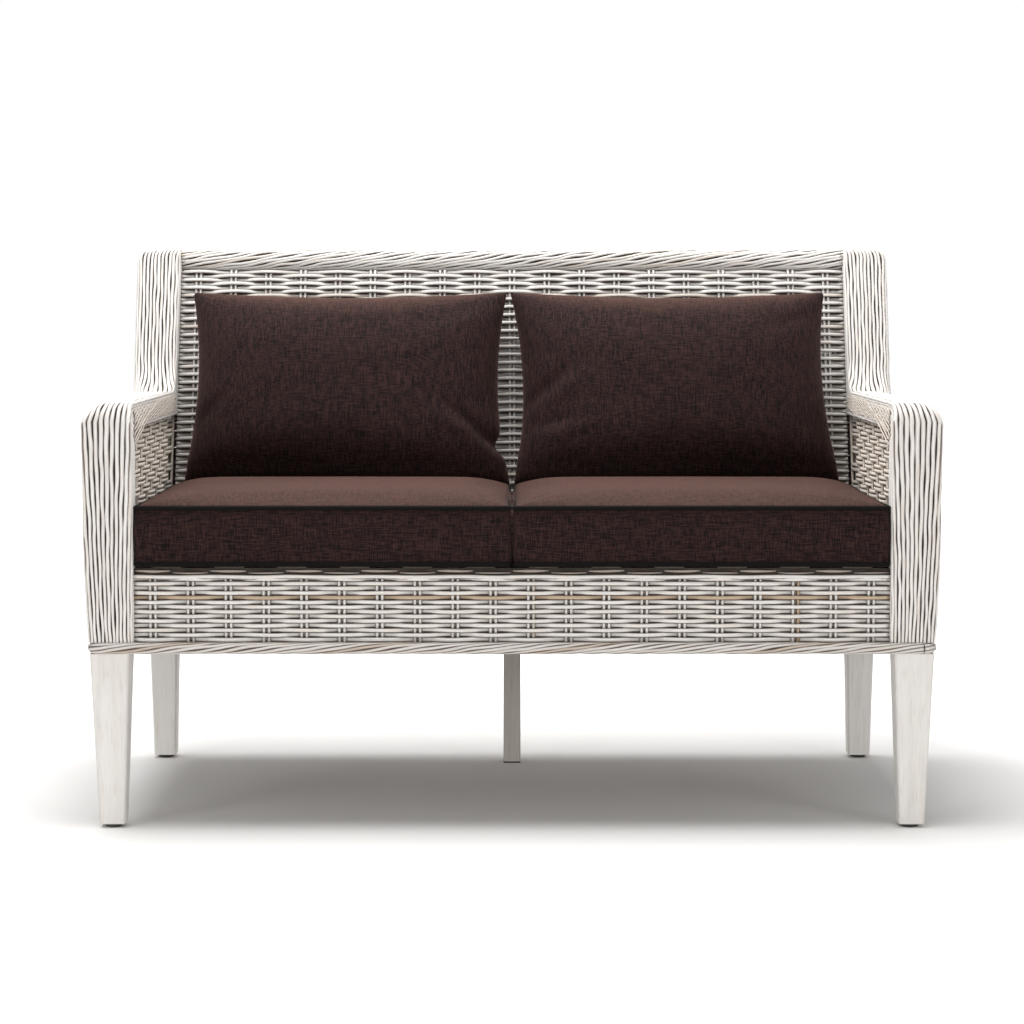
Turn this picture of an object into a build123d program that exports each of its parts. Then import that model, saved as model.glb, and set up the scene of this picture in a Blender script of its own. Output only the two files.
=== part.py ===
"""Patio loveseat: a wicker-covered frame on timber legs, with two seat and two back cushions.

Millimetres. X runs along the seat, the front faces -Y and Z is up from the floor.
The origin is under the middle. Depths are counted back from the front of the arms.
"""
from build123d import *
from math import cos, sin, sqrt, tan, radians
import os

# Overall form
seat_opening = 1168.0
arm_width = 75.5
frame_depth = 690.0
arm_height = 662.8
back_height = 908.8
leg_length = 268.3
glide_height = 6.0
wing_top_from_rear = 62.0
lean_angle = 18.0

# Wrapped arms and wings
front_wrap_depth = 38.0
top_wrap_height = 42.0
wing_wrap_depth = 42.0
rear_wrap_depth = 38.0
rear_wrap_width = 50.0
nose_radius = 30.0
armpit_radius = 50.0
wing_bend_radius = 75.0
wing_nose_radius = 14.0
arm_shoulder_radius = 42.0
wing_shoulder_radius = 18.0
side_tuck = 5.0
side_tuck_height = 146.0
strands_across = 12
strands_per_gap = 4
strand_gap = 1.2
strand_gap_depth = 2.5

# Woven walls
stake_size = 4.0
stake_spacing = 8.0
stake_pair_pitch = 57.3
back_pair_pitch = 63.0
weaver_height = 5.5
weaver_thickness = 4.5
row_pitch = 7.3
end_wall_recess = 7.5
side_wall_recess = 8.0
inner_arm_recess = 4.0
back_wall_recess = 19.0
apron_edge_height = 12.0
apron_edge_radius = 5.0

# Rope border and top roll
rope_diameter = 18.0
rope_sides = 8
rope_corner_radius = 14.0
border_proud = 3.0
top_roll_height = 38.0
top_roll_depth = 53.0
top_roll_radius = 16.0

# Frame tubes
tube_size = 20.0
tube_wall = 2.0
top_rail_height = 18.0
lower_rail_width = 30.0
seat_rail_size = 25.0
seat_rear_rail_width = 40.0
seat_rear_rail_lap = 14.5
side_seat_rail_width = 35.0
seat_frame_top = 405.8
post_from_front = 6.0
post_offset = 37.5
post_from_rear = 15.0
mid_rail_drop = 19.0
slat_thickness = 3.0
slat_width = 45.0
slat_count = 12
slat_front_lap = 20.0
slat_back_gap = 5.0

# Legs, glides and bolts
front_leg_top = 61.0
front_leg_foot = 39.0
rear_leg_top = 52.0
rear_leg_foot = 38.0
leg_centre_offset = 38.0
front_leg_depth = 4.0
rear_leg_from_rear = 10.0
leg_edge_chamfer = 2.5
centre_leg_size = 30.0
centre_leg_from_rear = 72.0
glide_diameter = 28.0
glide_chamfer = 2.0
glide_sides = 16
glide_stem_diameter = 8.0
glide_stem_length = 15.0
pad_thickness = 2.5
bolt_diameter = 8.0
bolt_grip = 45.0
bolt_head_width = 13.0
bolt_head_height = 5.5
bolt_clearance = 0.4
bolt_access_diameter = 17.0
pin_sides = 12

# Cushions
cushion_clearance = 0.6
seat_cushion_height = 90.0
seat_cushion_crown = 24.0
seat_cushion_corner_radius = 10.0
seat_cushion_draw = 4.0
seat_cushion_rear_gap = 2.0
piping_diameter = 7.0
piping_proud = 2.5
seat_core_margin = 40.0
seat_core_height = 66.0
back_cushion_side_gap = 29.5
back_cushion_middle_gap = 4.5
back_cushion_top_gap = 42.65
back_cushion_draw = 17.0
back_cushion_tip_radius = 4.0
back_cushion_front = 88.0
back_cushion_rear = 44.0
cushion_corner_steps = 2
seat_crown_steps = 4
pillow_front_steps = 5
pillow_rear_steps = 3
back_core_margin = 95.0
back_core_front = 50.0
back_core_rear = 22.0

# Sizes that follow
half_opening = seat_opening / 2
half_width = half_opening + arm_width
leg_top = glide_height + leg_length
rail_top = leg_top + rope_diameter
band_under = arm_height - top_wrap_height
lean = radians(lean_angle)
slope = tan(lean)
wing_foot_depth = frame_depth - wing_top_from_rear - (back_height - arm_height) * slope
wall_thickness = stake_size + 2 * weaver_thickness
front_wall_centre = end_wall_recess + wall_thickness / 2
rear_wall_centre = frame_depth - front_wall_centre
lower_rail_front = front_wall_centre - stake_size / 2
side_tuck_radius = (side_tuck_height**2 + side_tuck**2) / (2 * side_tuck)
side_tuck_start = rail_top + side_tuck_height
side_wall_offset = side_wall_recess + wall_thickness / 2
lower_rail_side = half_width - side_tuck + border_proud - rope_diameter
post_centre = half_opening + post_offset
roll_under = back_height - top_roll_height
top_roll_front = frame_depth - top_roll_depth
mid_rail_height = arm_height - mid_rail_drop
rear_post_depth = frame_depth - post_from_rear - tube_size
rear_leg_depth = frame_depth - rear_leg_from_rear - rear_leg_top
centre_leg_depth = frame_depth - centre_leg_from_rear - centre_leg_size
seat_rail_under = seat_frame_top - seat_rail_size
deck_top = seat_frame_top + slat_thickness
weave_reach = (stake_size + weaver_thickness) / 2
zigzag_reach = weave_reach / (1 - (stake_spacing + stake_size) / stake_pair_pitch)
zigzag_half = zigzag_reach + weaver_thickness / 2
seat_rail_front = front_wall_centre + zigzag_half
cushion_seat_top = deck_top + 2 * cushion_clearance + seat_cushion_height + seat_cushion_crown
back_cushion_width = half_opening - back_cushion_side_gap - back_cushion_middle_gap
back_cushion_height = (roll_under - cushion_seat_top) / cos(lean) - back_cushion_top_gap
back_cushion_centre = back_cushion_middle_gap + back_cushion_width / 2


def y_of(depth):
    """The Y of a depth counted back from the front of the arms."""
    return depth - frame_depth / 2


def block(x0, x1, t0, t1, z0, z1):
    corner = Pos(x0, y_of(t0), z0)
    return corner * Box(x1 - x0, t1 - t0, z1 - z0, align=(Align.MIN, Align.MIN, Align.MIN))


def tube(x0, x1, t0, t1, z0, z1, axis):
    """A rectangular tube, open at both ends along its axis."""
    wx = 0 if axis == "x" else tube_wall
    wt = 0 if axis == "y" else tube_wall
    wz = 0 if axis == "z" else tube_wall
    bore = block(x0 + wx, x1 - wx, t0 + wt, t1 - wt, z0 + wz, z1 - wz)
    return block(x0, x1, t0, t1, z0, z1) - bore


def side_face(points):
    """A flat outline given as depths and heights."""
    return make_face(Polyline(*[(y_of(t), z) for t, z in points], close=True))


def along_x(face, x0, x1):
    """A side outline run along the seat."""
    return extrude(Plane.YZ.offset(x0) * face, x1 - x0)


def along_y(face, t0, t1):
    """A front outline run from front to back."""
    back = Plane(origin=(0, y_of(t1), 0), x_dir=(1, 0, 0), z_dir=(0, -1, 0))
    return extrude(back * face, t1 - t0)


def rounded(face, corners):
    """The face with each listed corner, a point and a radius, rounded."""
    for point, radius in corners:
        vertex = face.vertices().sort_by_distance((point[0], point[1], 0))[0]
        face = fillet(vertex, radius)
    return face


def pair(shape):
    """A shape on the right, with its mirror on the left."""
    return {"right": shape, "left": mirror(shape, Plane.YZ)}


def lean_point(behind, up):
    """A depth and height on the leaning back, from the foot of the wing's face."""
    t = wing_foot_depth + up * sin(lean) + behind * cos(lean)
    return t, arm_height + up * cos(lean) - behind * sin(lean)


def lean_depth(behind, z):
    """The depth at height z of the plane that lies behind the wing's face by the given distance."""
    return wing_foot_depth + (z - arm_height) * slope + behind / cos(lean)


def side_reach(z):
    """How far out the side of the body stands at height z, with its tuck towards the border."""
    drop = max(side_tuck_start - z, 0)
    return half_width - (side_tuck_radius - sqrt(side_tuck_radius**2 - drop**2))


def even_places(start, end, pitch):
    """Places spread evenly between two ends, about one pitch apart, half a pitch from the ends."""
    count = max(round((end - start) / pitch), 1)
    step = (end - start) / count
    return [start + (k + 0.5) * step for k in range(count)]


def armpit_depth(z, rise):
    """Where a row at height z meets the rounded corner under the arm's front."""
    low = band_under - armpit_radius
    if z + rise <= low:
        return front_wrap_depth
    up = min(z + rise - low, armpit_radius)
    return front_wrap_depth + armpit_radius - sqrt(armpit_radius**2 - up**2)


# Wrapped arms, wings and rear corners


def body_outline():
    """The front outline that the arm keeps to: rounded shoulder above, tuck below."""
    low_x = half_width - side_tuck
    mid = side_tuck_start - side_tuck_height / 2
    edges = [
        Line((half_opening, rail_top), (low_x, rail_top)),
        ThreePointArc((low_x, rail_top), (side_reach(mid), mid), (half_width, side_tuck_start)),
        Line((half_width, side_tuck_start), (half_width, arm_height)),
        Line((half_width, arm_height), (half_opening, arm_height)),
        Line((half_opening, arm_height), (half_opening, rail_top)),
    ]
    face = make_face(edges)
    return rounded(face, [((half_width, arm_height), arm_shoulder_radius)])


def ribbon_outline():
    """The side outline of the ribbon: up the arm's front, over the arm, up and over the wing."""
    top_depth = lean_depth(0, back_height)
    corners = [
        (0, rail_top),
        (0, arm_height),
        (wing_foot_depth, arm_height),
        (top_depth, back_height),
        (frame_depth, back_height),
        (frame_depth, roll_under),
        (lean_depth(wing_wrap_depth, roll_under), roll_under),
        (lean_depth(wing_wrap_depth, band_under), band_under),
        (front_wrap_depth, band_under),
        (front_wrap_depth, rail_top),
    ]
    radii = {
        1: nose_radius,
        2: wing_bend_radius,
        3: wing_nose_radius,
        4: wing_nose_radius,
        8: armpit_radius,
    }
    places = [((y_of(corners[k][0]), corners[k][1]), r) for k, r in radii.items()]
    return rounded(side_face(corners), places)


def ribbon_gaps(outline):
    """Thin gaps between every few strands, along the front, top and face of the ribbon."""
    shifted = Pos(strand_gap_depth, -strand_gap_depth) * outline
    band = outline - shifted
    pitch = arm_width / strands_across
    gaps = []
    for k in range(strands_per_gap, strands_across, strands_per_gap):
        x = half_opening + k * pitch - strand_gap / 2
        gaps.append(along_x(band, x, x + strand_gap))
    return gaps


def ribbon_nodes():
    """Arm front, arm top and wing wraps of the right side."""
    outline = ribbon_outline()
    whole = along_x(outline, half_opening, half_width)
    body = along_y(body_outline(), 0, frame_depth)
    bend_start = wing_foot_depth - wing_bend_radius * tan((radians(90) - lean) / 2)
    front = whole & body & block(half_opening, half_width, 0, bend_start, rail_top, band_under)
    top = whole & body & block(half_opening, half_width, 0, bend_start, band_under, arm_height)
    wing_face = Polyline(
        (half_opening, band_under),
        (half_width, band_under),
        (half_width, back_height),
        (half_opening, back_height),
        close=True,
    )
    wing_outline = rounded(make_face(wing_face), [((half_width, back_height), wing_shoulder_radius)])
    wing = whole & along_y(wing_outline, bend_start, frame_depth)
    bores = frame_bores()
    gaps = ribbon_gaps(outline)
    return [shape - bores - gaps for shape in (front, top, wing)]


def rear_wrap():
    """The wrapped post at a rear corner, with gaps between its strands on the rear face."""
    x0 = half_width - rear_wrap_width
    t0 = frame_depth - rear_wrap_depth
    body = along_y(body_outline(), t0, frame_depth)
    upper = block(x0, half_width, t0, frame_depth, side_tuck_start, roll_under)
    lower = body & block(x0, half_width, t0, frame_depth, rail_top, side_tuck_start)
    shape = upper + lower - along_x(ribbon_outline(), half_opening, half_width)
    shape = shape - frame_bores()
    pitch = arm_width / strands_across
    for k in range(strands_per_gap, int(rear_wrap_width / pitch), strands_per_gap):
        x = x0 + k * pitch - strand_gap / 2
        gap_from = frame_depth - strand_gap_depth
        shape = shape - block(x, x + strand_gap, gap_from, frame_depth, rail_top, roll_under)
    return shape


# Frame tubes


def post_span():
    return post_centre - tube_size / 2, post_centre + tube_size / 2


def frame_bores():
    """The solid outlines of the tubes that run inside the wraps."""
    x0, x1 = post_span()
    low = arm_rail_under()
    high = low + tube_size
    t_post = post_from_front + tube_size
    front_post = block(x0, x1, post_from_front, t_post, rail_top, high)
    arm_rail = block(x0, x1, t_post, upright_front(high), low, high)
    rear_post = block(x0, x1, rear_post_depth, rear_post_depth + tube_size, rail_top, top_rail_under())
    top_rail = block(0, x1, top_rail_front(), rear_post_depth + tube_size, top_rail_under(),
                     top_rail_under() + top_rail_height)
    seat_rail = block(0, x0, seat_rail_front, seat_rail_front + seat_rail_size,
                      seat_rail_under, seat_frame_top)
    side_inner = half_opening + inner_arm_recess + stake_size
    side_rail = block(side_inner, side_inner + side_seat_rail_width, seat_rail_front + seat_rail_size,
                      rear_post_depth, seat_rail_under, seat_frame_top)
    rear_face = rear_wall_centre - wall_thickness / 2
    z0 = mid_rail_height - tube_size / 2
    z1 = mid_rail_height + tube_size / 2
    rear_mid = block(0, x0, rear_face - tube_size, rear_face, z0, z1)
    back_mid = lean_bar(0, x1, upright_rear(), upright_rear() + tube_size, z0, z1)
    rails = [arm_rail, top_rail, seat_rail, side_rail, rear_mid, back_mid]
    return [front_post, rear_post, upright_solid()] + rails


def arm_rail_under():
    """The arm rail lies in the arm's band, nearer its underside by half the cover's spare height."""
    return band_under + (top_wrap_height - tube_size) / 4


def top_rail_under():
    return back_height - (top_roll_height + top_rail_height) / 2


def top_rail_front():
    return rear_post_depth + tube_size - lower_rail_width


def upright_rear():
    """How far the rear face of the leaning upright lies behind the wing's face."""
    return back_wall_recess + wall_thickness


def upright_front(z):
    return lean_depth(upright_rear() - tube_size, z)


def lean_bar(x0, x1, near, far, z0, z1):
    """A bar between two leaning planes, with level ends."""
    points = [
        (lean_depth(near, z0), z0),
        (lean_depth(far, z0), z0),
        (lean_depth(far, z1), z1),
        (lean_depth(near, z1), z1),
    ]
    return along_x(side_face(points), x0, x1)


def upright_solid():
    x0, x1 = post_span()
    far = upright_rear()
    return lean_bar(x0, x1, far - tube_size, far, seat_frame_top, top_rail_under())


def upright_tube():
    x0, x1 = post_span()
    far = upright_rear() - tube_wall
    near = upright_rear() - tube_size + tube_wall
    bore = lean_bar(x0 + tube_wall, x1 - tube_wall, near, far, seat_frame_top, top_rail_under())
    return upright_solid() - bore


def arm_rail_tube():
    """The tube inside the arm, its rear end cut to the lean of the upright."""
    x0, x1 = post_span()
    low = arm_rail_under()
    high = low + tube_size
    start = post_from_front + tube_size
    return tube(x0, x1, start, upright_front(high), low, high, "y") - upright_solid()


def front_post_tube():
    x0, x1 = post_span()
    top = arm_rail_under() + tube_size
    return tube(x0, x1, post_from_front, post_from_front + tube_size, rail_top, top, "z")


def rear_post_tube():
    x0, x1 = post_span()
    return tube(x0, x1, rear_post_depth, rear_post_depth + tube_size, rail_top, top_rail_under(), "z")


def leg_centre(leg_depth, size):
    return half_opening + leg_centre_offset, leg_depth + size / 2


def bolt_places():
    """Each bolt stands on the middle line of the rail above its leg."""
    x = half_opening + leg_centre_offset
    front = lower_rail_front + lower_rail_width / 2
    rear = frame_depth - front
    centre = (0, centre_leg_depth + centre_leg_size / 2)
    return [(-x, front), (x, front), (-x, rear), (x, rear), centre]


def upright_pin(x, t, z0, z1, diameter):
    """A pin or hole, round in flats."""
    return extrude(Pos(x, y_of(t), z0) * RegularPolygon(diameter / 2, pin_sides), z1 - z0)


def with_bolt_holes(rail):
    """A lower rail with a hole under each bolt head and an access hole above it."""
    wall_top = leg_top + tube_wall
    for x, t in bolt_places():
        rail = rail - upright_pin(x, t, leg_top, wall_top, bolt_diameter + bolt_clearance)
        rail = rail - upright_pin(x, t, rail_top - tube_wall, rail_top, bolt_access_diameter)
    return rail


def lower_rails():
    """Four rails round the bottom and one under the middle, with corners rounded for the rope."""
    side = lower_rail_side
    near = lower_rail_front
    far = frame_depth - lower_rail_front
    ring_radius = rope_corner_radius - rope_diameter / 2
    front = tube(-side, side, near, near + lower_rail_width, leg_top, rail_top, "x")
    rear = tube(-side, side, far - lower_rail_width, far, leg_top, rail_top, "x")
    rounding = extrude(
        Pos(0, 0, leg_top) * RectangleRounded(2 * side, far - near, ring_radius), rope_diameter)
    front = front & rounding
    rear = rear & rounding
    right = tube(side - lower_rail_width, side, near + lower_rail_width, far - lower_rail_width,
                 leg_top, rail_top, "y")
    centre = tube(-lower_rail_width / 2, lower_rail_width / 2, near + lower_rail_width,
                  far - lower_rail_width, leg_top, rail_top, "y")
    sides = pair(right)
    rails = {
        "lower_front_rail": front,
        "lower_rear_rail": rear,
        "lower_right_rail": sides["right"],
        "lower_left_rail": sides["left"],
        "lower_centre_rail": centre,
    }
    return {name: with_bolt_holes(rail) for name, rail in rails.items()}


def seat_frame():
    x0, x1 = post_span()
    half_panel = half_opening + inner_arm_recess
    back = seat_rail_front + seat_rail_size
    rear_front = wall_front_depth(seat_frame_top) - seat_rear_rail_lap
    half = seat_rail_size / 2
    right = tube(half_panel + stake_size, half_panel + stake_size + side_seat_rail_width, back,
                 rear_post_depth, seat_rail_under, seat_frame_top, "y")
    sides = pair(right)
    inner = half_panel + stake_size
    strut_mid = rear_front + seat_rear_rail_width / 2
    return {
        "seat_front_rail": tube(-x0, x0, seat_rail_front, back, seat_rail_under, seat_frame_top, "x"),
        "seat_rear_rail": tube(-inner, inner, rear_front, rear_front + seat_rear_rail_width,
                               seat_rail_under, seat_frame_top, "x"),
        "seat_right_rail": sides["right"],
        "seat_left_rail": sides["left"],
        "seat_centre_rail": tube(-half, half, back, rear_front, seat_rail_under, seat_frame_top, "y"),
        "seat_centre_strut": tube(-tube_size / 2, tube_size / 2, strut_mid - tube_size / 2,
                                  strut_mid + tube_size / 2, rail_top, seat_rail_under, "z"),
        "seat_slats": seat_slats(),
    }


def seat_slats():
    places = even_places(-half_opening, half_opening, seat_opening / slat_count)
    start = seat_rail_front + seat_rail_size - slat_front_lap
    end = wall_front_depth(deck_top) - slat_back_gap
    return [
        block(x - slat_width / 2, x + slat_width / 2, start, end, seat_frame_top, deck_top)
        for x in places
    ]


def back_frame():
    x0, x1 = post_span()
    rail = tube_size / 2
    far = upright_rear()
    z0 = mid_rail_height - rail
    z1 = mid_rail_height + rail
    mid = lean_bar(-x1, x1, far, far + tube_size, z0, z1)
    rise = tube_wall
    mid_bore = lean_bar(-x1, x1, far + tube_wall, far + tube_size - tube_wall, z0 + rise, z1 - rise)
    rear_face = rear_wall_centre - wall_thickness / 2
    top_rail = tube(-x1, x1, top_rail_front(), rear_post_depth + tube_size, top_rail_under(),
                    top_rail_under() + top_rail_height, "x")
    return {
        "top_rail": top_rail,
        "back_mid_rail": mid - mid_bore,
        "rear_mid_rail": tube(-x0, x0, rear_face - tube_size, rear_face, z0, z1, "x"),
    }


# Woven walls


def stake_pairs(start, end, pitch):
    """Centres of the stakes of each pair between two ends."""
    places = []
    for middle in even_places(start, end, pitch):
        places += [middle - stake_spacing / 2, middle + stake_spacing / 2]
    return places


def side_layer(row):
    """Rows pass in front of and behind the stakes by turns."""
    return 1 if row % 2 == 0 else -1


def apron():
    """The front apron, its weavers bent over and under each pair of stakes."""
    top = seat_frame_top - apron_edge_height
    half = stake_size / 2
    centre = front_wall_centre
    stakes = [
        block(x - half, x + half, centre - half, centre + half, rail_top, top)
        for x in stake_pairs(-half_opening, half_opening, stake_pair_pitch)
    ]
    pairs = even_places(-half_opening, half_opening, stake_pair_pitch)
    rows = []
    for row, z in enumerate(even_places(rail_top, top, row_pitch)):
        middle = [(-half_opening, 0)]
        for k, x in enumerate(pairs):
            middle.append((x, zigzag_reach * side_layer(row + k)))
        middle.append((half_opening, 0))
        near = [(x, y_of(centre + offset - weaver_thickness / 2)) for x, offset in middle]
        far = [(x, y_of(centre + offset + weaver_thickness / 2)) for x, offset in reversed(middle)]
        face = make_face(Polyline(*near, *far, close=True))
        rows.append(extrude(Pos(0, 0, z - weaver_height / 2) * face, weaver_height))
    return stakes + rows


def apron_edge():
    """The wrapped edge over the apron, against the seat frame's front rail."""
    start = front_wall_centre - zigzag_half
    points = [
        (start, seat_frame_top - apron_edge_height),
        (start, seat_frame_top),
        (seat_rail_front, seat_frame_top),
        (seat_rail_front, seat_frame_top - apron_edge_height),
    ]
    front = [((y_of(points[k][0]), points[k][1]), apron_edge_radius) for k in (0, 1)]
    return along_x(rounded(side_face(points), front), -half_opening, half_opening)


def rear_wall():
    half = stake_size / 2
    reach = half_width - rear_wrap_width
    centre = rear_wall_centre
    stakes = [
        block(x - half, x + half, centre - half, centre + half, rail_top, roll_under)
        for x in stake_pairs(-reach, reach, back_pair_pitch)
    ]
    rows = []
    for row, z in enumerate(even_places(rail_top, roll_under, row_pitch)):
        mid = centre + weave_reach * side_layer(row)
        rows.append(block(-reach, reach, mid - weaver_thickness / 2, mid + weaver_thickness / 2,
                          z - weaver_height / 2, z + weaver_height / 2))
    return stakes + rows


def wall_front_depth(z):
    """The depth of the front of the leaning inner back wall at height z."""
    return lean_depth(back_wall_recess, z)


def inner_back_wall():
    """The leaning wall behind the back cushions."""
    middle = back_wall_recess + wall_thickness / 2
    half = stake_size / 2
    stakes = [
        lean_bar(x - half, x + half, middle - half, middle + half, seat_frame_top, roll_under)
        for x in stake_pairs(-half_opening, half_opening, back_pair_pitch)
    ]
    rows = []
    low = (seat_frame_top - arm_height) / cos(lean) + wall_thickness * slope
    high = (roll_under - arm_height) / cos(lean)
    for row, up in enumerate(even_places(low, high, row_pitch)):
        behind = middle + weave_reach * side_layer(row)
        up_here = up + behind * slope
        corners = [
            lean_point(behind - weaver_thickness / 2, up_here - weaver_height / 2),
            lean_point(behind + weaver_thickness / 2, up_here - weaver_height / 2),
            lean_point(behind + weaver_thickness / 2, up_here + weaver_height / 2),
            lean_point(behind - weaver_thickness / 2, up_here + weaver_height / 2),
        ]
        rows.append(along_x(side_face(corners), -half_opening, half_opening))
    return stakes + rows


def inner_arm_wall():
    """The wall inside the right arm, from the seat frame to the band of the arm."""
    centre = half_opening + inner_arm_recess + wall_thickness / 2
    half = stake_size / 2
    span_end = wall_front_depth(seat_frame_top)
    stakes = []
    for t in stake_pairs(front_wrap_depth, span_end, stake_pair_pitch):
        stakes.append(block(centre - half, centre + half, t - half, t + half, seat_frame_top,
                            armpit_height(t - half)))
    rows = []
    for row, z in enumerate(even_places(seat_frame_top, band_under, row_pitch)):
        mid = centre - weave_reach * side_layer(row)
        start = armpit_depth(z, weaver_height / 2)
        end = wall_front_depth(z - weaver_height / 2) - weaver_thickness * slope
        rows.append(block(mid - weaver_thickness / 2, mid + weaver_thickness / 2, start, end,
                          z - weaver_height / 2, z + weaver_height / 2))
    return stakes + rows


def armpit_height(t):
    """The height of the underside of the ribbon at depth t."""
    low = band_under - armpit_radius
    ahead = front_wrap_depth + armpit_radius - t
    if ahead <= 0:
        return band_under
    return low + sqrt(max(armpit_radius**2 - ahead**2, 0))


def outer_wall_centre(z):
    return side_reach(z) - side_wall_offset


def side_stake(t, z1):
    """A stake of the side wall, bent to the tuck of the body."""
    half = stake_size / 2
    low = side_tuck_start - side_tuck_height
    mid = side_tuck_start - side_tuck_height / 2
    line = [(outer_wall_centre(z), z) for z in (low, mid, side_tuck_start, z1)]
    inner = [(x - half, z) for x, z in line]
    outer = [(x + half, z) for x, z in reversed(line)]
    return along_y(make_face(Polyline(*inner, *outer, close=True)), t - half, t + half)


def outer_arm_wall():
    """The wall outside the right arm, from the border to the band of the arm."""
    span_end = frame_depth - rear_wrap_depth
    stakes = []
    for t in stake_pairs(front_wrap_depth, span_end, stake_pair_pitch):
        stakes.append(side_stake(t, armpit_height(t - stake_size / 2)))
    rows = []
    for row, z in enumerate(even_places(rail_top, band_under, row_pitch)):
        drop = max(side_tuck_start - z, 0)
        ease = weaver_height / 2 * drop / side_tuck_radius
        mid = outer_wall_centre(z) + (weave_reach + ease) * side_layer(row)
        start = armpit_depth(z, weaver_height / 2)
        rows.append(block(mid - weaver_thickness / 2, mid + weaver_thickness / 2, start, span_end,
                          z - weaver_height / 2, z + weaver_height / 2))
    return stakes + rows


def wing_side_wall():
    """The side wall behind the right wing, above the arm."""
    centre = outer_wall_centre(arm_height)
    half = stake_size / 2
    end = frame_depth - rear_wrap_depth
    rows = []
    for row, z in enumerate(even_places(band_under, roll_under, row_pitch)):
        mid = centre + weave_reach * side_layer(row)
        start = lean_depth(wing_wrap_depth, z + weaver_height / 2)
        if start < end - stake_spacing:
            rows.append(block(mid - weaver_thickness / 2, mid + weaver_thickness / 2, start, end,
                              z - weaver_height / 2, z + weaver_height / 2))
    t = end - stake_size
    stop = arm_height + (t - half - lean_depth(wing_wrap_depth, arm_height)) / slope
    stake = block(centre - half, centre + half, t - half, t + half, band_under, min(stop, roll_under))
    return [stake] + rows


# Rope border and top roll


def rope_run(points, radius):
    """A rope, round in flats, along straight runs with rounded corners."""
    path = FilletPolyline(*points, radius=radius) if radius else Line(*points)
    start = path @ 0
    section = Plane(origin=start, z_dir=path % 0) * RegularPolygon(rope_diameter / 2, rope_sides)
    return sweep(section, path=path)


def border():
    x = lower_rail_side + rope_diameter / 2
    z = leg_top + rope_diameter / 2
    y_front = y_of(lower_rail_front - rope_diameter / 2)
    turn = rope_corner_radius
    y_turn = y_front + turn
    across = [(-x, y_turn + turn, z), (-x, y_front, z), (x, y_front, z), (x, y_turn + turn, z)]
    front = rope_run(across, turn)
    right = rope_run([(x, y_turn + turn, z), (x, -y_turn - turn, z)], 0)
    sides = pair(right)
    return {
        "border_front": front,
        "border_rear": mirror(front, Plane.XZ),
        "border_right": sides["right"],
        "border_left": sides["left"],
    }


def top_roll():
    points = [
        (top_roll_front, roll_under),
        (top_roll_front, back_height),
        (frame_depth, back_height),
        (frame_depth, roll_under),
    ]
    corners = [((y_of(t), z), top_roll_radius) for t, z in points]
    roll = along_x(rounded(side_face(points), corners), -half_opening, half_opening)
    return roll - block(-half_opening, half_opening, top_rail_front(), rear_post_depth + tube_size,
                        top_rail_under(), top_rail_under() + top_rail_height)


# Legs


def chamfered_square(size, chamfer):
    a = size / 2
    b = a - chamfer
    points = [(b, -a), (a, -b), (a, b), (b, a), (-b, a), (-a, b), (-a, -b), (-b, -a)]
    return make_face(Polyline(*points, close=True))


def leg(depth, top, foot, bolt):
    """A right leg: square, tapered on all sides, bored for its bolt and glide."""
    x, t = leg_centre(depth, top)

    def taper(centre):
        return [
            (centre - foot / 2, glide_height),
            (centre + foot / 2, glide_height),
            (centre + top / 2, leg_top),
            (centre - top / 2, leg_top),
        ]

    shape = along_y(make_face(Polyline(*taper(x), close=True)), t - top / 2, t + top / 2)
    shape = shape & along_x(side_face(taper(t)), x - top / 2, x + top / 2)
    shape = chamfer(shape.edges().sort_by(SortBy.LENGTH)[-4:], leg_edge_chamfer)
    shape = shape - upright_pin(*bolt, leg_top - bolt_grip, leg_top, bolt_diameter + bolt_clearance)
    stem_top = glide_height + glide_stem_length
    return shape - upright_pin(x, t, glide_height, stem_top, glide_stem_diameter)


def glide(x, t):
    foot = extrude(Pos(x, y_of(t), 0) * RegularPolygon(glide_diameter / 2, glide_sides), glide_height)
    foot = chamfer(foot.edges().group_by(Axis.Z)[0], glide_chamfer)
    return foot + upright_pin(x, t, glide_height, glide_height + glide_stem_length, glide_stem_diameter)


def bolts():
    """Hexagon bolts, each with its head inside a lower rail and its shank down in a leg."""
    shapes = []
    head_from = leg_top + tube_wall
    hexagon = RegularPolygon(bolt_head_width / 2, 6, major_radius=False)
    for x, t in bolt_places():
        head = extrude(Pos(x, y_of(t), head_from) * hexagon, bolt_head_height)
        shapes.append(head + upright_pin(x, t, leg_top - bolt_grip, head_from, bolt_diameter))
    return shapes


def legs():
    bolt_at = bolt_places()
    front = pair(leg(front_leg_depth, front_leg_top, front_leg_foot, bolt_at[1]))
    rear = pair(leg(rear_leg_depth, rear_leg_top, rear_leg_foot, bolt_at[3]))
    mid_t = centre_leg_depth + centre_leg_size / 2
    square = chamfered_square(centre_leg_size, leg_edge_chamfer)
    centre = extrude(Pos(0, y_of(mid_t), pad_thickness) * square, leg_top - pad_thickness)
    centre = centre - upright_pin(0, mid_t, leg_top - bolt_grip, leg_top, bolt_diameter + bolt_clearance)
    pad = extrude(Pos(0, y_of(mid_t), 0) * square, pad_thickness)
    fx, ft = leg_centre(front_leg_depth, front_leg_top)
    rx, rt = leg_centre(rear_leg_depth, rear_leg_top)
    return {
        "front_right_leg": front["right"],
        "front_left_leg": front["left"],
        "rear_right_leg": rear["right"],
        "rear_left_leg": rear["left"],
        "centre_leg": centre,
        "centre_leg_pad": pad,
        "front_right_glide": glide(fx, ft),
        "front_left_glide": glide(-fx, ft),
        "rear_right_glide": glide(rx, rt),
        "rear_left_glide": glide(-rx, rt),
        "leg_bolts": bolts(),
    }


# Cushions


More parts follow.
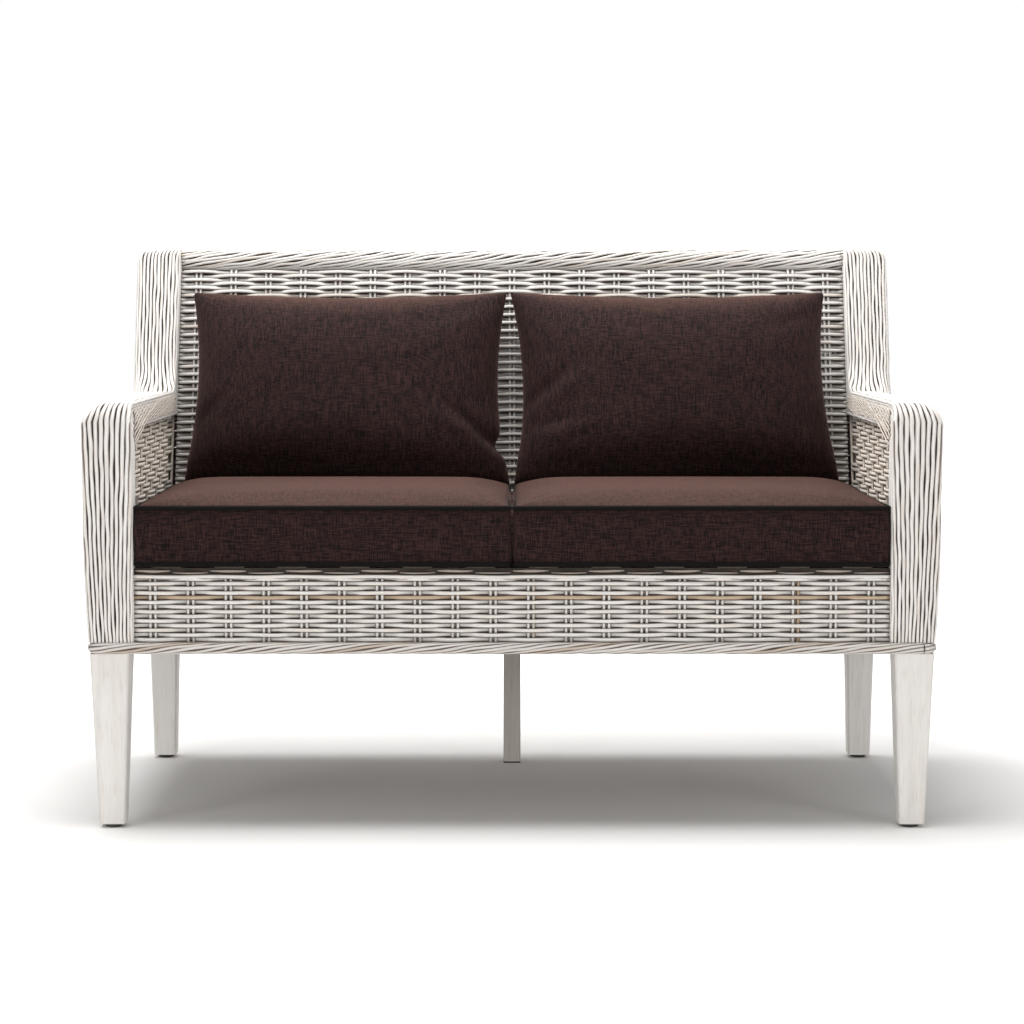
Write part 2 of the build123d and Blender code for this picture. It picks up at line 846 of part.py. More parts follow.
def cushion_outline(width, depth, radius, draw):
    """Points of a rounded outline whose four sides pull in between the corners."""
    a = width / 2
    b = depth / 2
    middle_share = 3 / 4
    turn = radians(90) / cushion_corner_steps
    quarter = [(a - draw * middle_share, (b - radius) / 2)]
    for k in range(cushion_corner_steps + 1):
        quarter.append((a - radius * (1 - cos(k * turn)), b - radius * (1 - sin(k * turn))))
    quarter.append(((a - radius) / 2, b - draw * middle_share))
    half = [(a - draw, 0)] + quarter + [(0, b - draw)] + [(-x, y) for x, y in reversed(quarter)]
    return half + [(-x, -y) for x, y in half]


def cushion_ring(outline, share, height):
    """The outline at a share of its size. Every ring keeps the same directions."""
    return [(x * share, y * share, height) for x, y in outline]


def faceted(rings):
    """A closed solid through rings of points, with flat faces between them."""
    faces = [make_face(Polyline(*ring, close=True)) for ring in (rings[0], rings[-1])]
    for low, high in zip(rings, rings[1:]):
        for k in range(len(low)):
            corners = (low[k - 1], low[k], high[k], high[k - 1])
            faces.append(make_face(Polyline(*corners, close=True)))
    return Solid(Shell(faces))


def seat_cushion():
    """The right box cushion: piped edges, sides drawn in, a crowned top, flat beneath."""
    width = half_opening - 2 * cushion_clearance
    depth = wall_front_depth(deck_top) - seat_cushion_rear_gap
    height = seat_cushion_height
    bead = piping_diameter
    crown = seat_cushion_crown
    under_inset_share = 0.03
    crown_inset_share = 0.18
    steps = [
        (0, depth * under_inset_share),
        (bead / 8, piping_proud),
        (bead / 2, 0),
        (bead, piping_proud),
        (height / 2, piping_proud / 2),
        (height - bead, piping_proud),
        (height - bead / 2, 0),
        (height, piping_proud),
    ]
    for k in range(1, seat_crown_steps + 1):
        part = k / seat_crown_steps
        rise = crown * (1 - (1 - part) ** 2)
        steps.append((height + rise, piping_proud + depth * crown_inset_share * part))
    outline = cushion_outline(width, depth, seat_cushion_corner_radius, seat_cushion_draw)
    cover = faceted([cushion_ring(outline, 1 - 2 * inset / depth, z) for z, inset in steps])
    core = seat_core(width, depth)
    place = Pos(width / 2 + cushion_clearance, y_of(depth / 2), deck_top + cushion_clearance)
    return place * (cover - core), place * core


def seat_core(width, depth):
    lift = (seat_cushion_height - seat_core_height) / 2
    size = (width - 2 * seat_core_margin, depth - 2 * seat_core_margin, seat_core_height)
    return Pos(0, 0, lift) * Box(*size, align=(Align.CENTER, Align.CENTER, Align.MIN))


def pillow_half(thickness, steps, reach_share):
    """Half of a cushion, swelling from its pointed seam outline to a crown."""
    outline = cushion_outline(back_cushion_width, back_cushion_height,
                              back_cushion_tip_radius, back_cushion_draw)
    rings = []
    for k in range(steps + 1):
        part = k / steps
        swell = sqrt(1 - (1 - part) ** 2)
        rings.append(cushion_ring(outline, 1 - reach_share * part * part, thickness * swell))
    return faceted(rings)


def back_cushion():
    """The right knife-edge cushion, leaning on the inner back wall and flat where it rests."""
    front_reach_share = 0.72
    rear_reach_share = 0.5
    front = pillow_half(back_cushion_front, pillow_front_steps, front_reach_share)
    rear = mirror(pillow_half(back_cushion_rear, pillow_rear_steps, rear_reach_share), Plane.XY)
    core_size = (back_cushion_width - 2 * back_core_margin, back_cushion_height - 2 * back_core_margin)
    core = extrude(Pos(0, 0, -back_core_rear) * Rectangle(*core_size), back_core_rear + back_core_front)
    behind = back_wall_recess - cushion_clearance - back_cushion_rear
    low = (cushion_seat_top - arm_height + behind * sin(lean)) / cos(lean)
    t, z = lean_point(behind, low + back_cushion_height / 2 - back_cushion_draw / 2)
    place = Plane(origin=(back_cushion_centre, y_of(t), z), x_dir=(1, 0, 0),
                  z_dir=(0, -cos(lean), sin(lean)))
    cover = place * (front + rear - core)
    floor = block(0, half_opening, 0, frame_depth, leg_top, cushion_seat_top)
    return cover - floor, place * core


def cushions():
    nodes = {}
    for name, (cover, core) in {"seat_cushion": seat_cushion(), "back_cushion": back_cushion()}.items():
        for side, shape in pair(cover).items():
            nodes[f"{side}_{name}"] = shape
        for side, shape in pair(core).items():
            nodes[f"{side}_{name}_filling"] = shape
    return nodes


def both(shape):
    return list(pair(shape).values())


def sided(name, shapes):
    """Right and left nodes of a list of solids."""
    shapes = shapes if isinstance(shapes, list) else [shapes]
    return {
        f"right_{name}": shapes,
        f"left_{name}": [mirror(shape, Plane.YZ) for shape in shapes],
    }


def all_nodes():
    front, top, wing = ribbon_nodes()
    nodes = {}
    nodes.update(legs())
    nodes.update(lower_rails())
    nodes.update(seat_frame())
    nodes.update(back_frame())
    nodes.update(border())
    nodes["corner_posts"] = both(front_post_tube()) + both(rear_post_tube())
    nodes["arm_rails"] = both(arm_rail_tube())
    nodes["back_uprights"] = both(upright_tube())
    nodes.update(sided("arm_front_wrap", front))
    nodes.update(sided("arm_top_wrap", top))
    nodes.update(sided("wing_wrap", wing))
    nodes.update(sided("rear_corner_wrap", rear_wrap()))
    nodes.update(sided("arm_inner_wall", inner_arm_wall()))
    nodes.update(sided("arm_outer_wall", outer_arm_wall()))
    nodes.update(sided("wing_side_wall", wing_side_wall()))
    nodes["front_apron"] = apron()
    nodes["apron_edge"] = apron_edge()
    nodes["rear_wall"] = rear_wall()
    nodes["back_inner_wall"] = inner_back_wall()
    nodes["top_roll"] = top_roll()
    nodes.update(cushions())
    return nodes


os.makedirs("parts", exist_ok=True)
for node, made in all_nodes().items():
    solids = []
    for shape in made if isinstance(made, list) else [made]:
        solids += shape.solids()
    export_step(solids[0] if len(solids) == 1 else Compound(children=solids), f"parts/{node}.step")
print("wrote the parts")
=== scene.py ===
import math
import bpy
import numpy as np
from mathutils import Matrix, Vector


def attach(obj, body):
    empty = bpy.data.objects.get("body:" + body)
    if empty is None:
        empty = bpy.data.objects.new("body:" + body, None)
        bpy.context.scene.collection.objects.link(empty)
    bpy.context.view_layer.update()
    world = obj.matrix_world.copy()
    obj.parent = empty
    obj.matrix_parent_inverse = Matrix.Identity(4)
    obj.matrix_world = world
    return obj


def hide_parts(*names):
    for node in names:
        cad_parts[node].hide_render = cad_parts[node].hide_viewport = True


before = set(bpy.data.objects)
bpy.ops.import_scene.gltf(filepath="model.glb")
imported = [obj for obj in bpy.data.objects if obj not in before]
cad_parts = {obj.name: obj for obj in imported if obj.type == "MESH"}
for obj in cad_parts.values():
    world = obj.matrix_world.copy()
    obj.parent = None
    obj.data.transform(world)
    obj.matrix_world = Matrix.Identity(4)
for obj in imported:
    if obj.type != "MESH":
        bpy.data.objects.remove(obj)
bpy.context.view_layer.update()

# Patio loveseat: whitewashed wicker over a frame, timber legs, espresso linen cushions.
# Metres. X runs along the seat, the front faces -Y, depths are counted back from the arms' front.

dice = np.random.default_rng(7)

body = {
    "halfOpening": 0.584,  # the seat's half width between the arms
    "halfWidth": 0.6595,
    "depth": 0.690,
    "armTop": 0.6628,
    "backTop": 0.9088,
    "bandUnder": 0.6208,  # underside of the ribbon over the arm
    "rollUnder": 0.8708,
    "legTop": 0.2743,
    "railTop": 0.2923,
    "seatFrameTop": 0.4058,
    "deckTop": 0.4088,
    "wingFoot": 0.548,  # depth at which the wing's front line meets the arm's top
    "lean": math.radians(18),
    "tuck": 0.005,  # how far the sides draw in at the foot
    "tuckHeight": 0.146,
}


# Tools for shapes

def deselectAll():
    if bpy.context.object and bpy.context.object.mode != "OBJECT":
        bpy.ops.object.mode_set(mode="OBJECT")
    bpy.ops.object.select_all(action="DESELECT")


def makeActive(piece):
    deselectAll()
    piece.select_set(True)
    bpy.context.view_layer.objects.active = piece


def startEdit(action="SELECT"):
    bpy.ops.object.mode_set(mode="EDIT")
    bpy.ops.mesh.select_all(action=action)


def endEdit():
    bpy.ops.object.mode_set(mode="OBJECT")


def finishWith(piece, kind, **settings):
    # a modifier on the active piece, applied at once
    modifier = piece.modifiers.new(kind.title(), kind)
    for key, value in settings.items():
        setattr(modifier, key, value)
    bpy.ops.object.modifier_apply(modifier=modifier.name)


def addBox(location, scale):
    deselectAll()
    bpy.ops.mesh.primitive_cube_add(size=1, location=location, scale=scale)
    bpy.ops.object.transform_apply(location=True, rotation=True, scale=True)
    return bpy.context.object


def coordsOf(mesh):
    co = np.empty(len(mesh.vertices) * 3)
    mesh.vertices.foreach_get("co", co)
    return co.reshape(-1, 3)


def setCoords(mesh, co):
    mesh.vertices.foreach_set("co", co.ravel())


def stack(x, y, z):
    return np.stack(np.broadcast_arrays(x, y, z), axis=1).astype(float)


def unit(rows):
    return rows / np.maximum(np.linalg.norm(rows, axis=1, keepdims=True), 1e-9)


nudge = 0.001  # a short way along, to find a direction


def everywhere(way, count):
    # one direction, said again for each station
    return np.tile(np.array([way], dtype=float), (count, 1))


def runAlong(points):
    # distance from the first point to each of them
    return np.concatenate([[0], np.cumsum(np.linalg.norm(np.diff(points, axis=0), axis=1))])


def evenPlaces(start, end, pitch):
    count = max(int(round((end - start) / pitch)), 1)
    step = (end - start) / count
    return start + (np.arange(count) + 0.5) * step


def sideReach(z):
    # half width of the body, which draws in towards the rope border
    radius = (body["tuckHeight"] ** 2 + body["tuck"] ** 2) / (2 * body["tuck"])
    drop = np.maximum(body["railTop"] + body["tuckHeight"] - z, 0)
    return body["halfWidth"] - (radius - np.sqrt(radius**2 - drop**2))


def leanDepth(behind, z):
    # depth of the leaning line that lies this far behind the wing's front
    return body["wingFoot"] + (z - body["armTop"]) * math.tan(body["lean"]) + behind / math.cos(body["lean"])


def yOf(depth):
    return depth - body["depth"] / 2


# Tools for strands

wicker = {
    "white": (0.80, 0.78, 0.755),
    "cream": (0.68, 0.635, 0.58),
    # painted light: a paler, warmer wash for the shaded inner walls
    "litHoney": (0.96, 0.86, 0.745),
    "tan": (0.45, 0.32, 0.20),
    "worn": (0.26, 0.18, 0.12),
    # painted shade, laid on the strands' sides and in the crevices between them
    "paintedShade": (0.085, 0.050, 0.030),
    "litWarmth": 0.75,
    "tanShare": 0.022,
    "tanTones": (0.75, 1.0),
    "paleTones": (0.0, 0.42),
    "streaks": (14, 5, 1),
    "streakRange": (0.50, 0.78),
    "streakShare": 0.5,
    "fibres": (90, 26, 1),
    "fibreRange": (0.55, 0.75),
    "fibreShare": 0.28,
    "paintedShadeRange": (0.30, 1.0),
    "paintedShadeStreaks": 0.45,
    "paintedShadeShare": 0.92,
    "roughness": 0.72,
    "bump": (0.35, 0.0006),
}

patterns = {}


def strandPattern(stations, sides):
    # one straight tube, one unit between rings, that every strand of this length is copied from
    if (stations, sides) in patterns:
        return patterns[(stations, sides)]
    deselectAll()
    bpy.ops.mesh.primitive_circle_add(vertices=sides, radius=1, rotation=(0, math.radians(90), 0))
    tube = bpy.context.object
    bpy.ops.object.transform_apply(location=True, rotation=True, scale=True)
    startEdit()
    bpy.ops.mesh.extrude_region_move(TRANSFORM_OT_translate={"value": (1, 0, 0)})
    endEdit()
    finishWith(tube, "ARRAY", count=stations - 1, relative_offset_displace=(1, 0, 0),
               use_merge_vertices=True, merge_threshold=0.01)
    startEdit()
    bpy.ops.mesh.fill_holes(sides=0)
    bpy.ops.mesh.normals_make_consistent(inside=False)
    endEdit()
    mesh = tube.data
    for layer in list(mesh.uv_layers):
        mesh.uv_layers.remove(layer)
    co = coordsOf(mesh)
    corners = np.empty(len(mesh.loops), dtype=int)
    mesh.loops.foreach_get("vertex_index", corners)
    mesh.uv_layers.new(name="strand")
    mesh.attributes.new("tone", "FLOAT", "POINT")
    mesh.attributes.new("outer", "FLOAT", "POINT")
    mesh.shade_smooth()
    bpy.data.objects.remove(tube)
    turn = np.arctan2(co[:, 2], co[:, 1]) / (2 * math.pi) + 0.5
    made = {"mesh": mesh, "ring": np.rint(co[:, 0]).astype(int), "y": co[:, 1], "z": co[:, 2],
            "corners": corners, "turn": turn}
    patterns[(stations, sides)] = made
    return made


def layStrand(points, across, outward, width, thick, tone, sides=6, shadedEdge=0.0):
    # a copy of the pattern, its rings set along the points, as wide along "across" as it says;
    # the last argument is how far painted shade reaches in from the strand's edges
    stations = len(points)
    pattern = strandPattern(stations, sides)
    along = unit(np.gradient(points, axis=0))
    side = unit(across - along * np.sum(across * along, axis=1, keepdims=True))
    up = np.cross(along, side)
    ring = pattern["ring"]
    width = np.broadcast_to(width, (stations,))[ring, None] / 2
    thick = np.broadcast_to(thick, (stations,))[ring, None] / 2
    mesh = pattern["mesh"].copy()
    setCoords(mesh, points[ring] + side[ring] * pattern["y"][:, None] * width
              + up[ring] * pattern["z"][:, None] * thick)
    start = dice.uniform(0, 50)  # each strand takes its grain from another place
    grain = np.empty((len(pattern["corners"]), 2))
    grain[:, 0] = (runAlong(points)[ring] + start)[pattern["corners"]]
    grain[:, 1] = pattern["turn"][pattern["corners"]]
    mesh.uv_layers["strand"].data.foreach_set("uv", grain.ravel())
    # the shade mask: highest on the crest facing out, lowest on the side turned in, where painted shade goes
    facing = np.sign(np.sum(up * outward, axis=1))[ring] * pattern["z"] - shadedEdge
    mesh.attributes["tone"].data.foreach_set("value", np.full(len(ring), tone))
    mesh.attributes["outer"].data.foreach_set("value", facing)
    strand = bpy.data.objects.new("strand", mesh)
    bpy.context.collection.objects.link(strand)
    return strand


def joinPieces(name, pieces, material):
    deselectAll()
    for piece in pieces:
        piece.select_set(True)
    bpy.context.view_layer.objects.active = pieces[0]
    if len(pieces) > 1:
        bpy.ops.object.join()
    whole = bpy.context.view_layer.objects.active
    whole.name = name
    whole.data.name = name
    whole.data.materials.clear()
    whole.data.materials.append(material)
    makeActive(whole)
    startEdit()
    bpy.ops.mesh.normals_make_consistent(inside=False)
    endEdit()
    return whole


def fixWicker(piece, *nodes):
    # wicker stays on the frame, and stands for the plain solids that are named
    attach(piece, "root")
    if nodes:
        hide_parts(*nodes)


def fixCore(piece, name):
    # a body in a dark painted-shade colour, that shows between the strands over it
    piece.name = name
    piece.data.materials.append(shadeCoreCane)
    fixWicker(piece)


def strandTone():
    # mostly near white, with a tan strand here and there
    if dice.uniform() < wicker["tanShare"]:
        return dice.uniform(*wicker["tanTones"])
    return dice.uniform(*wicker["paleTones"])


def wander(stations, step, size, wave):
    # a smooth small wandering along a strand: three waves, each shorter and weaker than the last
    run = np.arange(stations) * step
    total = np.zeros(stations)
    shares = (1.0, 0.55, 0.3)
    for share in shares:
        length = wave * dice.uniform(0.7, 1.4) * share**0.5
        total += share * np.sin(2 * math.pi * run / length + dice.uniform(0, 6.3))
    return total * size / sum(shares)


# Materials

def newMaterial(name, roughness):
    material = bpy.data.materials.new(name)
    material.use_nodes = True
    tree = material.node_tree
    shader = tree.nodes["Principled BSDF"]
    shader.inputs["Roughness"].default_value = roughness
    return material, tree, shader


def addNode(tree, kind, **values):
    node = tree.nodes.new(kind)
    for key, value in values.items():
        if key in node.inputs:
            node.inputs[key].default_value = value
        else:
            setattr(node, key, value)
    return node


def stretched(tree, source, scale):
    mapping = addNode(tree, "ShaderNodeMapping", Scale=scale)
    tree.links.new(source, mapping.inputs["Vector"])
    return mapping.outputs["Vector"]


def noise(tree, source, **values):
    cloud = addNode(tree, "ShaderNodeTexNoise", **values)
    tree.links.new(source, cloud.inputs["Vector"])
    return cloud.outputs["Fac"]


def ramp(tree, factor, stops):
    node = tree.nodes.new("ShaderNodeValToRGB")
    tree.links.new(factor, node.inputs["Fac"])
    while len(node.color_ramp.elements) < len(stops):
        node.color_ramp.elements.new(0.5)
    for element, (place, colour) in zip(node.color_ramp.elements, stops):
        element.position = place
        element.color = (*colour, 1)
    return node.outputs["Color"]


def fadeIn(tree, factor, low, high):
    return ramp(tree, factor, [(low, (0, 0, 0)), (high, (1, 1, 1))])


def fadeOut(tree, factor, low, high):
    return ramp(tree, factor, [(low, (1, 1, 1)), (high, (0, 0, 0))])


def setInputs(tree, pairs):
    for socket, value in pairs:
        if hasattr(value, "links"):
            tree.links.new(value, socket)
        elif isinstance(value, tuple):
            socket.default_value = (*value, 1)
        else:
            socket.default_value = value


def mixColours(tree, factor, first, second):
    node = tree.nodes.new("ShaderNodeMix")
    node.data_type = "RGBA"
    setInputs(tree, [(node.inputs["Factor"], factor), (node.inputs["A"], first), (node.inputs["B"], second)])
    return node.outputs["Result"]


def maths(tree, operation, first, second):
    node = tree.nodes.new("ShaderNodeMath")
    node.operation = operation
    setInputs(tree, zip(node.inputs, (first, second)))
    return node.outputs["Value"]


def glaze(tree, cover, share, below, above):
    # a second colour over the first, nowhere more than its share
    return mixColours(tree, maths(tree, "MULTIPLY", cover, share), below, above)


def roughen(tree, shader, height, strength, distance):
    bump = addNode(tree, "ShaderNodeBump", Strength=strength, Distance=distance)
    tree.links.new(height, bump.inputs["Height"])
    tree.links.new(bump.outputs["Normal"], shader.inputs["Normal"])


def wickerMaterial(name, litWarm=0.0):
    # whitewash brushed over cane: streaks run along each strand
    material, tree, shader = newMaterial(name, wicker["roughness"])
    place = addNode(tree, "ShaderNodeUVMap", uv_map="strand").outputs["UV"]
    tone = addNode(tree, "ShaderNodeAttribute", attribute_name="tone").outputs["Fac"]
    outer = addNode(tree, "ShaderNodeAttribute", attribute_name="outer").outputs["Fac"]
    streaks = noise(tree, stretched(tree, place, wicker["streaks"]), Scale=1.0, Detail=4.0, Roughness=0.6)
    fibres = noise(tree, stretched(tree, place, wicker["fibres"]), Scale=1.0, Detail=3.0, Roughness=0.65)
    between = tuple(0.5 * (a + b) for a, b in zip(wicker["white"], wicker["cream"]))
    washed = ramp(tree, tone, [(0.0, wicker["white"]), (0.45, between), (0.75, wicker["cream"]),
                               (1.0, wicker["tan"])])
    # painted light: the inner walls' copy is paler and warmer, standing in for light they don't get
    if litWarm:
        washed = mixColours(tree, litWarm, washed, wicker["litHoney"])
    streaked = fadeIn(tree, streaks, *wicker["streakRange"])
    washed = glaze(tree, streaked, wicker["streakShare"], washed, wicker["tan"])
    rubbed = fadeIn(tree, fibres, *wicker["fibreRange"])
    washed = glaze(tree, rubbed, wicker["fibreShare"], washed, wicker["worn"])
    # painted shade on the strand's sides and in the crevices, more where the streaks run
    shadeFacing = maths(tree, "ADD", outer, maths(tree, "MULTIPLY", streaks, wicker["paintedShadeStreaks"]))
    paintedShadeMask = fadeOut(tree, shadeFacing, *wicker["paintedShadeRange"])
    washed = glaze(tree, paintedShadeMask, wicker["paintedShadeShare"], washed, wicker["paintedShade"])
    tree.links.new(washed, shader.inputs["Base Color"])
    roughen(tree, shader, maths(tree, "ADD", streaks, fibres), *wicker["bump"])
    return material


gapShade = {"patches": 60.0, "range": (0.35, 0.7), "roughness": 0.85, "bump": (0.4, 0.001)}
coreShadeLook = {"dark": (0.012, 0.007, 0.004), "light": (0.035, 0.021, 0.012)}
innerShadeLook = {"dark": (0.080, 0.058, 0.042), "light": (0.190, 0.150, 0.115)}


def gapShadeMaterial(name, look):
    # painted shade: a dark cane colour for what lies under and behind the strands, seen only in the gaps
    material, tree, shader = newMaterial(name, gapShade["roughness"])
    place = addNode(tree, "ShaderNodeTexCoord").outputs["Object"]
    patches = noise(tree, place, Scale=gapShade["patches"], Detail=3.0)
    low, high = gapShade["range"]
    colour = ramp(tree, patches, [(low, look["dark"]), (high, look["light"])])
    tree.links.new(colour, shader.inputs["Base Color"])
    roughen(tree, shader, patches, *gapShade["bump"])
    return material


timber = {
    "lengthways": (1, 1, 0.045),
    "bands": 95.0,
    "bandRange": (0.42, 0.72),
    "bandShare": 0.5,
    "pores": 420.0,
    "poreRange": (0.56, 0.74),
    "poreShare": 0.45,
    "clouds": 9.0,
    "cloudRange": (0.4, 0.75),
    "cloudShare": 0.25,
    "roughness": 0.6,
    "bump": (0.25, 0.0008),
}
whiteWood = {"pale": (0.70, 0.675, 0.645), "grain": (0.57, 0.535, 0.495), "open": (0.46, 0.42, 0.375)}
# painted shade: a darker copy of the whitewashed timber for the leg in the shade under the seat
shadedWood = {"pale": (0.50, 0.46, 0.42), "grain": (0.36, 0.325, 0.29), "open": (0.22, 0.195, 0.17)}


def woodMaterial(name, look):
    # whitewashed timber, the grain running up the leg
    material, tree, shader = newMaterial(name, timber["roughness"])
    place = addNode(tree, "ShaderNodeTexCoord").outputs["Object"]
    upright = stretched(tree, place, timber["lengthways"])
    bands = noise(tree, upright, Scale=timber["bands"], Detail=4.0, Roughness=0.55, Distortion=0.4)
    pores = noise(tree, upright, Scale=timber["pores"], Detail=2.0, Roughness=0.6)
    clouds = noise(tree, place, Scale=timber["clouds"], Detail=2.0)
    banded = fadeIn(tree, bands, *timber["bandRange"])
    pitted = fadeIn(tree, pores, *timber["poreRange"])
    clouded = fadeIn(tree, clouds, *timber["cloudRange"])
    colour = glaze(tree, banded, timber["bandShare"], look["pale"], look["grain"])
    colour = glaze(tree, pitted, timber["poreShare"], colour, look["open"])
    colour = glaze(tree, clouded, timber["cloudShare"], colour, look["grain"])
    tree.links.new(colour, shader.inputs["Base Color"])
    roughen(tree, shader, maths(tree, "SUBTRACT", bands, pitted), *timber["bump"])
    return material


linen = {
    "dark": (0.0020, 0.0009, 0.0008),
    "light": (0.0335, 0.0152, 0.0134),
    "range": (0.42, 0.59),
    # painted light: the colour of the cloth where it faces up
    "lit": (0.062, 0.0295, 0.0235),
    "litDarkShare": 0.35,
    "litRange": (0.40, 0.58),
    "facingUp": (0.72, 0.98),
    "threads": 590.0,
    "threadWays": ((0.09, 1, 1), (1, 0.09, 0.09)),
    "slubs": 330.0,
    "slubShare": 0.10,
    "roughness": 0.9,
    "gloss": 0.15,
    "sheen": 0.16,
    "sheenRoughness": 0.35,
    "sheenTint": (0.62, 0.36, 0.29),
    "bump": (0.5, 0.0012),
    # painted shade: the piping's darker copy of the linen
    "pipingPaintedShade": 0.06,
}


def linenMaterial(name, shade=1.0):
    # plain weave of uneven yarns: two crossed sets of fine threads, each broken by slubs
    material, tree, shader = newMaterial(name, linen["roughness"])
    place = addNode(tree, "ShaderNodeTexCoord").outputs["Object"]
    warp, weft = (noise(tree, stretched(tree, place, way), Scale=linen["threads"], Detail=2.0, Roughness=0.6)
                  for way in linen["threadWays"])
    slubs = noise(tree, place, Scale=linen["slubs"], Detail=3.0, Roughness=0.7)
    cloth = maths(tree, "MULTIPLY", maths(tree, "ADD", warp, weft), 0.5)
    yarns = maths(tree, "ADD", maths(tree, "MULTIPLY", cloth, 1 - linen["slubShare"]),
                  maths(tree, "MULTIPLY", slubs, linen["slubShare"]))
    low, high = linen["range"]
    colour = ramp(tree, yarns, [(low, linen["dark"]), (high, tuple(part * shade for part in linen["light"]))])
    # painted light: the cloth is paler where it faces up, as if lit from above
    form = tree.nodes.new("ShaderNodeNewGeometry")
    split = tree.nodes.new("ShaderNodeSeparateXYZ")
    tree.links.new(form.outputs["Normal"], split.inputs["Vector"])
    lit = tuple(part * shade for part in linen["lit"])
    litDark = tuple(part * linen["litDarkShare"] for part in lit)
    low, high = linen["litRange"]
    paintedLitColour = ramp(tree, yarns, [(low, litDark), (high, lit)])
    paintedLitMask = fadeIn(tree, split.outputs["Z"], *linen["facingUp"])
    tree.links.new(mixColours(tree, paintedLitMask, colour, paintedLitColour), shader.inputs["Base Color"])
    shader.inputs["Specular IOR Level"].default_value = linen["gloss"]
    shader.inputs["Sheen Weight"].default_value = linen["sheen"] * shade
    shader.inputs["Sheen Roughness"].default_value = linen["sheenRoughness"]
    shader.inputs["Sheen Tint"].default_value = (*linen["sheenTint"], 1)
    roughen(tree, shader, yarns, *linen["bump"])
    return material


plainLooks = {
    "paintedTube": {"colour": (0.30, 0.25, 0.20), "roughness": 0.5, "metal": 0.0},
    "blackNylon": {"colour": (0.012, 0.012, 0.012), "roughness": 0.45, "metal": 0.0},
    "zincSteel": {"colour": (0.55, 0.55, 0.56), "roughness": 0.35, "metal": 1.0},
    "cushionFilling": {"colour": (0.78, 0.74, 0.66), "roughness": 0.9, "metal": 0.0},
}


unevenness = {"specks": 120.0, "range": (0.3, 0.7), "darkShare": 0.8, "bump": (0.15, 0.0005)}


def plainMaterial(name):
    # painted, moulded or bare metal parts, with a fine unevenness
    look = plainLooks[name]
    material, tree, shader = newMaterial(name, look["roughness"])
    place = addNode(tree, "ShaderNodeTexCoord").outputs["Object"]
    specks = noise(tree, place, Scale=unevenness["specks"], Detail=3.0)
    darker = tuple(part * unevenness["darkShare"] for part in look["colour"])
    low, high = unevenness["range"]
    colour = ramp(tree, specks, [(low, darker), (high, look["colour"])])
    tree.links.new(colour, shader.inputs["Base Color"])
    shader.inputs["Metallic"].default_value = look["metal"]
    roughen(tree, shader, specks, *unevenness["bump"])
    return material


caneWhite = wickerMaterial("whitewashedCane")
# the inner walls' wicker, paler with painted light
caneWarmLit = wickerMaterial("warmLitCane", wicker["litWarmth"])
# the dark painted-shade colour of the bodies under the strands
shadeCoreCane = gapShadeMaterial("shadeCoreCane", coreShadeLook)
# the dark painted-shade colour of the layer inside the lower rows
innerShadeCane = gapShadeMaterial("innerShadeCane", innerShadeLook)
legWood = woodMaterial("whitewashedTimber", whiteWood)
shadedCentreWood = woodMaterial("shadedTimber", shadedWood)
espressoLinen = linenMaterial("espressoLinen")
# the piping is a darker copy of the linen, in painted shade
shadedPipingLinen = linenMaterial("shadedPipingLinen", linen["pipingPaintedShade"])
framePaint = plainMaterial("paintedTube")
blackNylon = plainMaterial("blackNylon")
boltSteel = plainMaterial("zincSteel")
foam = plainMaterial("cushionFilling")
print("materials are ready")


# Wrapped arms and wings

ribbon = {
    "strands": 25,
    "step": 0.006,
    "thickness": 0.0054,
    "thickSpread": (0.9, 1.08),
    "fill": 0.91,
    "widthSpread": (0.92, 1.06),
    "wander": 0.00085,
    "wave": 0.085,
    "lift": 0.0003,
    "liftWave": 0.07,
    "swell": 0.00045,
    "swellWave": 0.055,
    "shadedEdge": 0.09,
    "nose": 0.030,
    "armpit": 0.050,
    "bend": 0.075,
    "bendFoot": 0.020,
    "wingNose": 0.014,
    "noseEase": 0.03,
    "tipStations": 7,
    "rearStations": 6,
    "edge": 0.005,
    "shoulder": 0.042,
    "shoulderShare": 0.98,
    "bendShoulder": 0.010,
    "topShoulder": 0.008,
    "roundPlaces": 9,
    "frontDepth": 0.038,
    "wingDepth": 0.042,
    "wingCorner": 0.018,
    "wingShare": 0.6,
    "coreStrands": 24,
    "coreInset": 0.00504,
    "coreMiddle": 0.037,
}


def straight(a, b, count):
    share = np.linspace(0, 1, count, endpoint=False)[:, None]
    return np.array(a) * (1 - share) + np.array(b) * share


def arcRun(centre, radius, fromAngle, toAngle, count, closed=False):
    turn = np.radians(np.linspace(fromAngle, toAngle, count, endpoint=closed))
    return np.stack([centre[0] + radius * np.cos(turn), centre[1] + radius * np.sin(turn)], axis=1)


